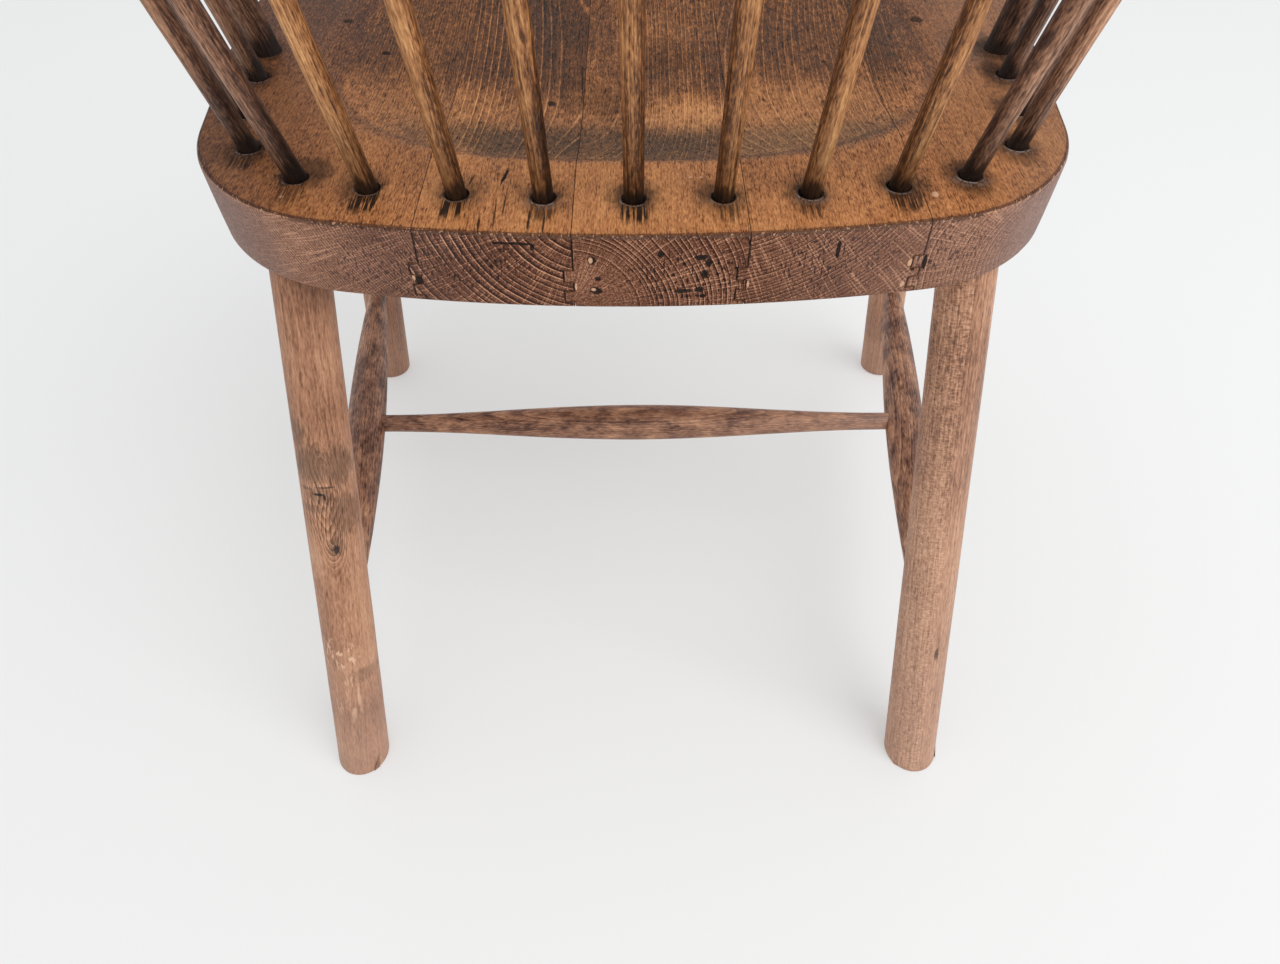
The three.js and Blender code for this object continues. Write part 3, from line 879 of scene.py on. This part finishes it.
fillings = {
    "seat_board_5": [((0.1062, -0.0250), (0.0006, 0.0022)), ((0.1110, -0.0290), (0.0008, 0.0020))],
    "seat_board_4": [((0.0340, -0.0240), (0.0006, 0.0034)), ((0.0346, -0.0365), (0.0006, 0.0032))],
    "seat_board_3": [
        ((0.0212, -0.0140), (0.0010, 0.0017)), ((0.0204, -0.0318), (0.0013, 0.0010)), ((0.0290, -0.0300), (0.0006, 0.0022)),
        ((-0.0516, -0.0237), (0.0006, 0.0034)), ((-0.0516, -0.0365), (0.0006, 0.0032)),
    ],
    "seat_board_2": [((-0.0570, -0.0300), (0.0006, 0.0022)), ((-0.1390, -0.0240), (0.0013, 0.0022)), ((-0.1380, -0.0375), (0.0012, 0.0018))],
    "seat_board_1": [],
}

seatColours = {
    "top": [(0.0, paint(40, 21, 10)), (0.30, paint(116, 66, 30)), (0.55, paint(188, 121, 70)), (1.0, paint(242, 172, 108))],
    "dish": [(0.0, paint(28, 16, 7)), (0.30, paint(74, 47, 24)), (0.55, paint(118, 80, 47)), (1.0, paint(190, 142, 92))],
    "end": [(0.0, paint(16, 7, 5)), (0.30, paint(64, 34, 23)), (0.55, paint(119, 76, 55)), (1.0, paint(208, 156, 124))],
    "side": [(0.0, paint(60, 42, 40)), (0.40, paint(126, 100, 92)), (1.0, paint(190, 164, 154))],
    "soot": paint(9, 6, 5), "rim": paint(50, 27, 25), "residue": paint(132, 122, 118), "shade": paint(74, 52, 42), "sheen": paint(160, 126, 102), "pale": paint(206, 164, 130), "filling": paint(216, 172, 140),
}

# What each stick has left round its socket: how far the stain's halo sits to its left and behind,
# how dark that is, how dark the streaks behind it are, and how much grey residue lies on its lip
sockets = {
    "side_stick_left_1": (0.002, 0.003, 0.6, 0.8, 0.6), "back_stick_left_4": (-0.005, -0.004, 0.8, 0.6, 0.4),
    "back_stick_left_3": (0.003, -0.001, 0.7, 1.0, 0.4), "back_stick_left_2": (-0.001, 0.000, 0.6, 1.0, 0.4),
    "back_stick_left_1": (0.000, 0.001, 0.6, 0.8, 0.9), "back_stick_middle": (0.000, -0.001, 0.9, 1.0, 0.5),
    "back_stick_right_1": (0.001, 0.000, 0.8, 0.8, 0.5), "back_stick_right_2": (0.001, 0.001, 0.7, 0.8, 0.9),
    "back_stick_right_3": (-0.002, -0.002, 0.8, 0.9, 0.5), "back_stick_right_4": (0.001, 0.002, 0.9, 0.5, 1.0),
    "side_stick_right_1": (0.001, 0.002, 0.8, 0.5, 1.0),
}
plainSocket = (0.002, 0.000, 0.8, 0.4, 0.6)


def socketOf(node):
    low, high = endsOf(node)
    inverse = seatPlace.inverted()
    start, end = inverse @ low, inverse @ high
    return start.lerp(end, -start.z / (end.z - start.z))


def most(values):
    top = values[0]
    for value in values[1:]:
        top = top.math("MAXIMUM", value)
    return top


def addSocketWear(shader, point, wood, centre, wear):
    left, behind, haloDark, streakDark, greyness = wear
    x, y, z = shader.split(shader.stretch(point, (1, 1, 1), (-centre.x, -centre.y, 0)))
    rough = wood["blotch"] - 0.5
    distance = (x * x + y * y) ** 0.5 + rough * 0.0010 + wood["speck"] * 0.0012
    # The gap round the stick is painted black in the soot colour: painted shade of the socket's mouth
    hole = shader.rise(distance, 0.0070, 0.0063)
    haloX = x - left
    haloY = (y - behind) * 0.8
    away = (haloX * haloX + haloY * haloY) ** 0.5 + rough * 0.012 + wood["speck"] * 0.010
    crust = shader.rise(distance + wood["speck"] * 0.012 + rough * 0.010, 0.0112, 0.0072) * 0.92
    halo = (shader.rise(away, 0.0180, 0.0070) * haloDark).math("MAXIMUM", crust)
    reach = y + rough * 0.012 + wood["speck"] * 0.008
    behindSocket = shader.band(reach, 0.002, 0.0170, 0.010) * shader.band(x + rough * 0.004, -0.0060, 0.0060, 0.0016)
    lines = shader.rise(wood["comb"], 0.43, 0.50)
    streaks = behindSocket * lines * streakDark
    lip = shader.band(distance, 0.0071, 0.0077, 0.0005) * shader.rise(y + x * 0.3, 0.002, 0.006)
    lip = lip * shader.rise(wood["comb"], 0.42, 0.52) * greyness
    haze = shader.band(distance, 0.0072, 0.0110, 0.0020) * shader.rise(y, 0.000, 0.007) * (greyness - 0.4) * 0.8
    return hole, halo, streaks, lip, haze


def edgeMarks(shader, x, z, places, speck, turn=0.0):
    flat = shader.vector(x, z, 0)
    return most([
        shader.rise(shader.spot(flat, (*centre, 0), (*size, 1), turn) + speck * 1.1, 1.15, 0.75)
        for centre, size in places
    ])


# The dark glue line in the end grain, with its two fingers that step towards +X
def addGlueLine(shader, x, z, seam, ragged):
    reach = seat["fingerReach"]
    half = 0.00045
    steps = [shader.band(z, -bottom, -top, 0.00005) for top, bottom in seat["fingers"]]
    line = seam + most(steps) * reach
    upright = shader.rise((x + ragged - line).math("ABSOLUTE"), half + 0.0002, half)
    level = [
        shader.rise((z + ragged + depth).math("ABSOLUTE"), half + 0.0002, half)
        for finger in seat["fingers"] for depth in finger
    ]
    return upright.math("MAXIMUM", most(level) * shader.band(x, seam, seam + reach, half))


def makeSeatWood(node, stickBases):
    board = boards[node]
    boardReach = [corner.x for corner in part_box(node)]
    shader = Shader(node.replace("_", ""))
    shader.surface.inputs["Specular IOR Level"].default_value = 0.13
    point = shader.place(seatPlace.translation, seatPlace)
    x, y, z = shader.split(point)
    wood = addWood(shader, x, z, y, board)
    facing = shader.split(shader.node("TexCoord", {}, {}, 1))
    up = facing[2]
    endwise = facing[1].math("ABSOLUTE")
    sidewise = facing[0].math("ABSOLUTE")

    blotch = wood["blotch"] - 0.5
    broad = shader.noise(shader.stretch(point, (9, 9, 9), (board["seed"], 2, 1)), 2) - 0.5
    speck = shader.noise(shader.stretch(point, (1250, 260, 1250)), 2, 0.65) - 0.5
    wood["speck"] = shader.noise(shader.stretch(point, (210, 150, 210)), 2) - 0.5
    wood["comb"] = shader.noise(shader.stretch(point, (800, 30, 800), (board["seed"], 0, 0)), 1)
    lines = min(board["lines"], 1)
    figure = wood["line"] * 0.30 * lines - wood["late"] * 0.17 * lines
    tone = 0.56 + board["tone"] + blotch * 0.60 + broad * 0.45 + speck * 1.20 + (wood["streak"] - 0.5) * 0.30
    mottle = shader.noise(shader.stretch(point, (260, 160, 260), (board["seed"], 5, 0)), 2) - 0.5
    tone = tone - wood["pore"] * 0.20 - wood["fleck"] * 0.06 + mottle * 0.42
    # Painted shade darkens the seat's top towards its left end, and a painted grey sheen pales it towards its right end
    leftShade = shader.rise(x + blotch * 0.05, 0.125, 0.222)
    rightSheen = shader.rise(x + blotch * 0.05, -0.150, -0.225)
    front = shader.rise(y + blotch * 0.04, -0.100, -0.190)
    tone = tone - leftShade * 0.15 - front * 0.15

    # The rear wall of the dish is greyer and darker, and its middle is worn light again
    rimNoise = speck * 0.003 + blotch * 0.003
    wall = shader.band(y + blotch * 0.030, -0.108, -0.060, 0.030) * shader.rise(z + rimNoise, 0.0002, -0.0026)
    wall = wall * (shader.rise(x + blotch * 0.03, 0.150, 0.080) * 0.65 + 0.35)
    worn = shader.spot(point, (-0.032, -0.140, 0), (0.040, 0.038, 1))
    deep = shader.rise(z + rimNoise, 0.0002, -0.0050)
    front = shader.rise(y + blotch * 0.03, -0.165, -0.205)
    glow = shader.rise(worn, 1.0, 0.3) * (0.22 if node == "seat_board_3" else 0.06)
    dishFigure = wood["line"] * 0.30 * lines - wood["late"] * 0.08 * lines
    dishTone = tone - speck * 0.40 - blotch * 0.26 - broad * 0.10 + dishFigure - board["dish"] + glow - front * board["fore"] - wall * board["wall"]
    top = shader.ramp(tone + figure * 0.25, seatColours["top"])
    dish = shader.ramp(dishTone + 0.07, seatColours["dish"])
    middle = shader.ramp(dishTone, seatColours["top"])
    top = shader.mix(top, shader.mix(middle, dish, 0.42), deep)
    top = shader.mix(top, dish, wall * 0.9)
    # The painted shade on the left and the painted sheen on the right
    top = shader.mix(top, seatColours["shade"], leftShade * 0.50)
    top = shader.mix(top, seatColours["sheen"], rightSheen * 0.35)

    dashX, dashZ = board["dashes"]
    dashes = shader.noise(shader.stretch(point, (850, 1, 300), (0, 0, board["seed"])), 0)
    dashArea = shader.rise(shader.spot(shader.vector(x, z, 0), (dashX, dashZ, 0), (0.045, 0.022, 1)), 1.1, 0.3)
    dashes = shader.rise(dashes, 0.60, 0.68) * dashArea
    scratch = shader.noise(shader.stretch(point, (190, 190, 2600), (board["seed"], 0, 0)), 1)
    lineHold = shader.rise(wood["blotch"] + speck * 0.4, 0.22, 0.50) * board["lines"]
    endTone = 0.47 + board["end"] + blotch * 0.34 + broad * 0.3 + wood["ray"] * 0.22 + wood["line"] * 0.40 * lineHold
    endTone = endTone - wood["late"] * 0.34 * lineHold + speck * 0.95 - wood["pore"] * 0.08 - dashes * 0.42
    endTone = endTone + (shader.rise(scratch, 0.60, 0.70) - shader.rise(scratch, 0.38, 0.30)) * 0.10
    # The rear edge grows paler towards both ends and greyer where it turns to the sides: partly the wood's own colour,
    # partly a painted grey sheen
    endTone = endTone + shader.rise(x.math("ABSOLUTE"), 0.10, 0.18) * 0.20
    end = shader.ramp(endTone, seatColours["end"])
    side = shader.ramp(0.45 + blotch * 0.4 + speck * 0.2 + (wood["streak"] - 0.5) * 0.4, seatColours["side"])
    sideShare = shader.rise(sidewise + broad * 0.2, 0.18, 0.75) * 0.85
    edge = shader.mix(end, side, sideShare.math("MAXIMUM", shader.rise(x.math("ABSOLUTE"), 0.04, 0.15) * 0.24))
    topness = shader.rise(up, 0.62, 0.88)
    colour = shader.mix(edge, top, topness)

    # A dark line runs along the top arris, and a pale one that is partly worn wood and partly a painted highlight on
    # the rounding
    onRim = shader.rise(z, -0.0024, -0.0015)
    fromEdge = 0 - y - x * x / 1.732 + wood["speck"] * 0.0016 + (wood["comb"] - 0.5) * 0.006
    paleWearAndHighlight = shader.band(up, 0.34, 0.60, 0.15) * onRim * shader.rise(wood["speck"] + broad, -0.22, 0.05)
    darkLine = shader.band(fromEdge, 0.0003, 0.0020, 0.0008) * onRim * shader.rise(x.math("ABSOLUTE"), 0.225, 0.205)
    darkLine = darkLine.math("MAXIMUM", shader.band(up, 0.72, 0.95, 0.08) * onRim)
    colour = shader.mix(colour, seatColours["rim"], darkLine * 0.80)
    nicks = shader.rise(wood["comb"], 0.62, 0.68) * shader.band(up, 0.20, 0.86, 0.08) * onRim
    colour = shader.mix(colour, seatColours["pale"], (paleWearAndHighlight * 0.10).math("MAXIMUM", nicks * 0.55))

    onEdge = shader.rise(up, 0.3, 0.1) * shader.rise(facing[1], 0.5, 0.8)
    glue = [
        addGlueLine(shader, x, z, seam, wood["speck"] * 0.0012)
        for seam in seat["seams"] if boardReach[0] - 0.01 < seam < boardReach[1] + 0.01
    ]
    gluePatch = shader.rise(wood["blotch"] + speck, 0.30, 0.46)
    colour = shader.mix(colour, seatColours["soot"], most(glue) * onEdge * gluePatch * 0.80)
    pit = edgeMarks(shader, x, z, pits[node], wood["speck"]) * onEdge
    colour = shader.mix(colour, seatColours["soot"], pit * 0.92)
    if fillings[node]:
        filled = edgeMarks(shader, x, z, fillings[node], wood["speck"] * 0.5) * onEdge
        colour = shader.mix(colour, seatColours["filling"], filled * 0.85)

    marks = [
        shader.rise(shader.spot(point, centre, size, turn) + wood["speck"] * 1.2, 1.2, 0.6) * strength
        for centre, size, turn, strength in topMarks[node]
    ]
    if node in topChips:
        chips = [
            shader.rise(shader.spot(point, centre, size) + wood["speck"] * 1.2, 1.1, 0.8)
            for centre, size in topChips[node]
        ]
        colour = shader.mix(colour, seatColours["filling"], most(chips) * topness * 0.7)
    wears = [addSocketWear(shader, point, wood, centre, wear) for centre, wear in stickBases]
    holes, halos, streaks, lips, hazes = zip(*wears)
    dark = most(marks).math("MAXIMUM", most(halos) * 0.82).math("MAXIMUM", most(streaks) * 0.95)
    colour = shader.mix(colour, seatColours["soot"], dark * topness)
    colour = shader.mix(colour, seatColours["residue"], most(hazes).math("MAXIMUM", 0) * topness * shader.rise(speck + wood["speck"], -0.15, 0.15) * 0.45)
    # Painted shade in the gap round each stick
    colour = shader.mix(colour, seatColours["soot"], most(holes) * 0.96 * shader.rise(up, 0.2, 0.5))
    colour = shader.mix(colour, seatColours["residue"], most(lips) * topness)
    roughness = 0.50 + wood["pore"] * 0.15 + blotch * 0.2 + dark * 0.2
    height = tone * 0.4 + figure * 0.3 - wood["pore"] * 0.35 - dark * 0.6 - pit * 1.5 + most(lips) * 0.8
    return shader.finish(colour, roughness, height, 0.0005)


# Turned and bent pieces

roundColours = {
    "leg": [(0.0, paint(52, 30, 20)), (0.30, paint(118, 76, 52)), (0.55, paint(170, 122, 92)), (1.0, paint(222, 176, 142))],
    "stretcher": [(0.0, paint(28, 15, 11)), (0.30, paint(88, 56, 43)), (0.55, paint(146, 104, 82)), (1.0, paint(220, 168, 130))],
    "stick": [(0.0, paint(28, 14, 6)), (0.30, paint(98, 58, 28)), (0.55, paint(164, 110, 65)), (1.0, paint(226, 172, 114))],
    "sideStick": [(0.0, paint(24, 13, 9)), (0.30, paint(82, 52, 37)), (0.55, paint(144, 102, 76)), (1.0, paint(216, 166, 132))],
    "bow": [(0.0, paint(36, 20, 10)), (0.30, paint(96, 60, 34)), (0.55, paint(150, 100, 60)), (1.0, paint(206, 152, 98))],
    "soot": paint(10, 7, 6), "faded": paint(188, 156, 140), "pale": paint(226, 186, 156),
}


def makeRoundWood(node, start, end, wood, colours, look):
    shader = Shader(node.replace("_", ""))
    shader.surface.inputs["Specular IOR Level"].default_value = 0.35
    point = shader.place(start, turnTo(start, end))
    x, y, z = shader.split(point)
    grain = addWood(shader, x, y, z, wood)
    blotch = grain["blotch"] - 0.5
    seed = wood["seed"]
    speck = shader.noise(shader.stretch(point, (1000, 1000, 210), (seed, 0, 0)), 2, 0.6) - 0.5
    short = shader.noise(shader.stretch(point, (700, 700, 110), (0, seed, 0)), 1)
    along = shader.noise(shader.vector(seed, 0, z * 26), 2) - 0.5
    value = look["value"] + blotch * 0.75 + speck * look.get("speck", 0.8) + (grain["streak"] - 0.5) * look["streak"] + along * 0.35
    value = value + (grain["line"] * 0.16 - grain["late"] * 0.16) * look["lines"] - grain["pore"] * 0.06
    value = value - shader.rise(short, 0.58, 0.70) * 0.20 * look.get("speck", 0.8)
    if "mottle" in look:
        dapple = shader.noise(shader.stretch(point, (120, 120, 60), (seed, 1, 0)), 2)
        value = value + (dapple - 0.5) * look["mottle"]
    if "top" in look:
        value = value - shader.rise(z, look["top"], look["top"] + 0.08) * 0.07
    if "vee" in wood:
        axis, middle, spacing = wood["vee"]
        aside = ((x - axis) * (x - axis) + 0.000003) ** 0.5
        arms = ((z - aside * 3.2) / spacing + blotch * 2.6 + speck * 0.5).math("FRACT")
        area = shader.rise(shader.spot(point, (axis, 0.018, middle), (0.015, 0.015, 0.026)), 1.1, 0.5)
        value = value + (shader.rise(arms, 0.0, 0.14) * shader.rise(arms, 0.30, 0.16)) * area * 0.09
        value = value - shader.rise(arms, 0.45, 0.86) * shader.rise(arms, 1.0, 0.93) * area * 0.15
    if "rays" in look:
        inBand = shader.band(x + blotch * 0.006, look["rays"] - 0.006, look["rays"] + 0.006, 0.005)
        ticks = shader.noise(shader.stretch(point, (360, 360, 900), (0, seed, 0)), 1)
        value = value + (shader.rise(ticks, 0.54, 0.62) * 0.16 - shader.rise(ticks, 0.44, 0.36) * 0.14) * inBand
    # Painted shade: the side of a stick that faces the chair's middle is darkened
    if "inwardShade" in look:
        facing = shader.split(shader.node("TexCoord", {}, {}, 1))
        side = facing[0] * look["inwardShade"] + blotch * 0.5 + speck * 0.3
        value = value - shader.rise(side, 0.10, -0.90) * 0.24
    colour = shader.ramp(value, roundColours[colours])
    if "fade" in look:
        colour = shader.mix(colour, roundColours["faded"], shader.rise(z + blotch * 0.1, look["fade"], -0.02) * 0.35)
    if "soot" in look:
        height = z + blotch * 0.014 + (grain["streak"] - 0.5) * 0.016
        low = shader.rise(height, look["soot"] + 0.017, look["soot"] + 0.003) * 0.92
        smudge = shader.rise(height, look["soot"] + 0.070, look["soot"]) * 0.52
        colour = shader.mix(colour, roundColours["soot"], low.math("MAXIMUM", smudge))
    if "marks" in wood:
        marks = [
            shader.rise(shader.spot(point, centre, size, turn) + speck * 1.1 + blotch * 0.5, 1.2, 0.5) * strength
            for centre, size, turn, strength in wood["marks"]
        ]
        colour = shader.mix(colour, roundColours["soot"], most(marks))
    if "scuffs" in wood:
        scuffs = []
        for centre, size, scale, strength in wood["scuffs"]:
            chips = shader.noise(shader.stretch(point, scale, (seed, 7, 0)), 2, 0.6)
            near = shader.rise(shader.spot(point, centre, size), 1.0, 0.5)
            scuffs.append(shader.rise(chips, 0.53, 0.60) * near * strength)
        colour = shader.mix(colour, roundColours["pale"], most(scuffs))
    roughness = 0.46 + grain["pore"] * 0.12 + blotch * 0.2
    height = value * 0.5 - grain["pore"] * 0.3
    return shader.finish(colour, roughness, height, 0.0003)


# Building

pieces = {}
for node in longSticks + shortSticks:
    pieces[node] = addStick(node)
for node in posts:
    pieces[node] = addPost(node)
print("sticks and posts made")

legNames = [f"{place}_leg_{side}" for place in ("rear", "front") for side in ("left", "right")]
for node in legNames:
    pieces[node] = addLeg(node)
for side in ("left", "right"):
    pieces[f"side_stretcher_{side}"] = addStretcher(f"side_stretcher_{side}", "side")
pieces["cross_stretcher"] = addStretcher("cross_stretcher", "cross")
print("legs and stretchers made")

stickTools = [addStick(node, stick["socket"]) for node in longSticks + shortSticks]
stickTools += [addPost(node, stick["socket"]) for node in posts]
stickTool = joined(stickTools, "stickTool")
legTool = joined([addLeg(node, stick["socket"]) for node in legNames], "legTool")
blank = addSeatBlank()
booleanWith(blank, stickTool, "DIFFERENCE")
booleanWith(blank, legTool, "DIFFERENCE")
for number in range(5):
    board = copyOf(blank, f"seatboard{number + 1}")
    tool = addBoardTool(number)
    booleanWith(board, tool, "INTERSECT")
    remove([tool])
    pieces[f"seat_board_{number + 1}"] = board
remove([blank, legTool])
print("seat made")

armBow = addArmBow()
workByHand(armBow)
topBow = addTopBow()
armTool = addArmBow(0.0003)
booleanWith(topBow, armTool, "DIFFERENCE")
for sign in (1, -1):
    booleanWith(topBow, addHoopTenon(sign), "UNION")
tenonTool = joined([addHoopTenon(sign, 0.0003) for sign in (1, -1)], "tenonTool")
booleanWith(topBow, stickTool, "DIFFERENCE")
booleanWith(armBow, stickTool, "DIFFERENCE")
booleanWith(armBow, tenonTool, "DIFFERENCE")
remove([armTool, tenonTool, stickTool])
remove([thing for thing in bpy.data.objects if thing.name.startswith("hoopTenon")])
pieces["arm_bow"] = armBow
pieces["top_bow"] = topBow
print("bows made")

sideTool = joined(
    [addStretcher(f"side_stretcher_{side}", "side", stretcher["socket"]) for side in ("left", "right")], "sideTool"
)
for node in legNames:
    booleanWith(pieces[node], sideTool, "DIFFERENCE")
crossTool = addStretcher("cross_stretcher", "cross", stretcher["socket"])
for side in ("left", "right"):
    booleanWith(pieces[f"side_stretcher_{side}"], crossTool, "DIFFERENCE")
remove([sideTool, crossTool])
print("sockets cut")

for node, piece in pieces.items():
    smoothShade(piece, 40)


def slotOf(node):
    for word, slotName in (
        ("seat", "seat_wood"), ("leg", "leg_wood"), ("stretcher", "stretcher_wood"), ("stick", "stick_wood"),
    ):
        if word in node:
            return slotName
    return "bow_wood"


# Finishing each piece

turnedWood = {
    "pith": (0.03, 0.012), "spacing": 0.0024, "lean": (0.012, 0.004), "seed": 1.0, "rays": 70,
    "drift": 0.006, "waver": 0.001, "pace": 120,
}


def woodLike(**changes):
    return {**turnedWood, **changes}


def dress(piece, material):
    piece.data.materials.clear()
    piece.data.materials.append(material)


# On a leg, z runs up from the foot, and y points to the rear
legWoods = {
    "rear_leg_left": woodLike(
        pith=(-0.008, 0.040), spacing=0.0026, lean=(0.0, 0.045), seed=2.2,
        knots=[((-0.004, 0.018, 0.243), (0.026, 0.026, 0.050), 0.020), ((-0.0090, 0.0155, 0.206), (0.018, 0.018, 0.030), 0.010)],
        marks=[
            ((-0.003, 0.0175, 0.244), (0.0052, 0.006, 0.0014), 0, 0.95), ((-0.006, 0.0175, 0.2425), (0.0014, 0.006, 0.0030), 0, 0.9),
            ((-0.0035, 0.0175, 0.243), (0.0090, 0.01, 0.0075), 0, 0.40), ((-0.0090, 0.0155, 0.205), (0.0050, 0.01, 0.0085), 0, 0.42),
            ((-0.0090, 0.0155, 0.203), (0.0026, 0.005, 0.0046), 0, 0.9), ((0.000, 0.018, 0.264), (0.016, 0.02, 0.015), 0, 0.52),
            ((0.008, 0.016, 0.285), (0.008, 0.02, 0.012), 0, 0.42), ((-0.014, 0.012, 0.262), (0.006, 0.02, 0.016), 0, 0.48),
            ((-0.014, 0.012, 0.228), (0.008, 0.02, 0.018), 0, 0.38), ((-0.014, 0.012, 0.094), (0.008, 0.02, 0.007), 0, 0.28),
            ((-0.0075, 0.016, 0.249), (0.0075, 0.008, 0.0010), 0.5, 0.7), ((0.0060, 0.018, 0.247), (0.0070, 0.008, 0.0016), 0, 0.5),
            ((-0.002, 0.018, 0.256), (0.0012, 0.006, 0.0100), 0, 0.5), ((0.003, 0.018, 0.233), (0.010, 0.01, 0.004), 0, 0.35),
        ],
        scuffs=[
            ((0.000, 0.018, 0.114), (0.020, 0.020, 0.017), (330, 330, 150), 0.75),
            ((-0.004, 0.018, 0.075), (0.012, 0.020, 0.030), (420, 420, 60), 0.50),
        ],
        vee=(-0.0055, 0.226, 0.0085),
    ),
    "rear_leg_right": woodLike(
        pith=(-0.055, 0.010), spacing=0.0022, lean=(0.004, 0.0), seed=4.1, rays=90,
        marks=[((-0.001, 0.0178, 0.112), (0.0020, 0.004, 0.006), 0, 0.7)],
    ),
    "front_leg_left": woodLike(pith=(0.030, -0.030), seed=5.5),
    "front_leg_right": woodLike(pith=(-0.028, 0.030), seed=6.6),
}
for node in legNames:
    foot, head = legEndsOf(node)
    look = {"value": 0.59, "streak": 0.34, "lines": 1.5 if node == "rear_leg_left" else 0.55, "fade": 0.16, "speck": 0.55}
    if node == "rear_leg_left":
        look["top"] = 0.26
    if node == "rear_leg_right":
        look["rays"] = 0.011
        look["fade"] = 0.50
        look["streak"] = 0.50
        look["speck"] = 0.8
    material = makeRoundWood(node, foot, head, legWoods[node], "leg", look)
    dress(pieces[node], material)

stretcherWoods = {
    "side_stretcher_left": woodLike(pith=(0.020, 0.004), spacing=0.0016, seed=7.7),
    "side_stretcher_right": woodLike(pith=(0.022, -0.006), spacing=0.0018, seed=8.1),
    "cross_stretcher": woodLike(pith=(0.004, -0.022), spacing=0.0014, seed=9.3),
}
for node, wood in stretcherWoods.items():
    low, high = sorted(endsOf(node), key=lambda place: place.x)
    look = {"value": 0.60 if node == "cross_stretcher" else 0.55, "streak": 0.30, "lines": 0.8, "mottle": 0.9}
    if node == "cross_stretcher":
        look["fade"] = 0.24
    dress(pieces[node], makeRoundWood(node, low, high, wood, "stretcher", look))

stickTones = {
    "back_stick_left_3": 0.65, "back_stick_left_2": 0.64, "back_stick_left_1": 0.55, "back_stick_middle": 0.46,
    "back_stick_right_1": 0.63, "back_stick_right_2": 0.60, "back_stick_right_3": 0.58, "side_stick_right_1": 0.64,
    "back_stick_right_4": 0.60,
}
for number, node in enumerate(longSticks + shortSticks + posts):
    low, high = endsOf(node)
    away = math.radians(137.5 * number)
    wood = woodLike(
        pith=(0.016 * math.cos(away), 0.016 * math.sin(away)), spacing=0.0017,
        lean=(0.006, -0.004), seed=1.3 + 0.83 * number,
    )
    side = "stick" if node in longSticks and not node.endswith("4") else "sideStick"
    depth = post["seatTenon"] if node in posts else (socketOf(node) - seatPlace.inverted() @ low).length
    look = {
        "value": stickTones.get(node, 0.56), "streak": 0.30, "lines": 0.8, "speck": 0.92,
        "soot": depth + 0.002, "inwardShade": 1 if low.x > -0.01 else -1,
    }
    dress(pieces[node], makeRoundWood(node, low, high, wood, side, look))

for node in ("arm_bow", "top_bow"):
    wood = woodLike(pith=(0.03, 0.05), spacing=0.0024, seed=4.4)
    start = Vector((0, 0, armHeight))
    dress(pieces[node], makeRoundWood(node, start, start + Vector((1, 0, 0)), wood, "bow", {"value": 0.57, "streak": 0.3, "lines": 1.0}))

for number in range(1, 6):
    node = f"seat_board_{number}"
    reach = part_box(node)
    bases = []
    for name in longSticks + shortSticks + posts:
        base = socketOf(name)
        if reach[0].x - 0.012 < base.x < reach[1].x + 0.012:
            bases.append((base, sockets.get(name, plainSocket)))
    material = makeSeatWood(node, bases)
    dress(pieces[node], material)
    print(node, len(bases), "sockets", len(material.node_tree.nodes), "nodes")

for node, piece in pieces.items():
    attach(piece, "root")
    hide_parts(node)
    slotOf(node)
print("wood finished")


# Floor, light and camera

light = {"world": 0.80, "lamp": 50, "lampPlace": (-1.5, 1.4, 2.6), "lampSize": 2.4}
floorLook = {"colour": (238, 239, 239), "glow": 0.42}

deselectAll()
bpy.ops.mesh.primitive_plane_add(size=14)
floor = bpy.context.object
floor.name = "floor"
floorPaint = Shader("floorPaint")
floorPaint.surface.inputs["Base Color"].default_value = paint(*floorLook["colour"])
floorPaint.surface.inputs["Roughness"].default_value = 0.9
glow = floorPaint.node("Emission", {}, {"Color": paint(*floorLook["colour"]), "Strength": 1.0})
seen = floorPaint.node("LightPath", {}, {}) * floorLook["glow"]
painted = Wire(floorPaint, floorPaint.surface.outputs[0])
whole = floorPaint.node("MixShader", {}, {0: seen, 1: painted, 2: glow})
output = floorPaint.tree.nodes["Material Output"]
floorPaint.tree.links.new(whole.socket, output.inputs["Surface"])
floor.data.materials.append(floorPaint.material)

world = bpy.data.worlds.new("studio")
bpy.context.scene.world = world
world.use_nodes = True
world.node_tree.nodes["Background"].inputs["Color"].default_value = (1, 1, 1, 1)
world.node_tree.nodes["Background"].inputs["Strength"].default_value = light["world"]

lamp = bpy.data.lights.new("windowLight", "AREA")
lamp.size = light["lampSize"]
lamp.energy = light["lamp"]
lampObject = bpy.data.objects.new("windowLight", lamp)
bpy.context.scene.collection.objects.link(lampObject)
lampObject.location = light["lampPlace"]
lampObject.rotation_euler = (Vector((0, 0, 0.3)) - lampObject.location).to_track_quat("-Z", "Y").to_euler()

photo = {
    "width": 1280, "focal": 914.2, "x": -0.0008, "back": 0.3796, "z": 0.6546,
    "down": 47.278, "turn": -0.300, "roll": -0.066,
}
cameraData = bpy.data.cameras.new("photoCamera")
cameraData.sensor_width = 36
cameraData.lens = 36 * photo["focal"] / photo["width"]
cameraData.clip_start = 0.01
camera = bpy.data.objects.new("photoCamera", cameraData)
bpy.context.scene.collection.objects.link(camera)
down, turn = math.radians(photo["down"]), math.radians(photo["turn"])
aim = Vector((math.cos(down) * math.sin(turn), -math.cos(down) * math.cos(turn), -math.sin(down)))
level = aim.to_track_quat("-Z", "Y").to_matrix().to_4x4()
roll = Matrix.Rotation(math.radians(photo["roll"]), 4, "Z")
camera.matrix_world = Matrix.Translation((photo["x"], rearEdge + photo["back"], photo["z"])) @ level @ roll
bpy.context.scene.camera = camera
bpy.context.scene.view_settings.view_transform = "Standard"
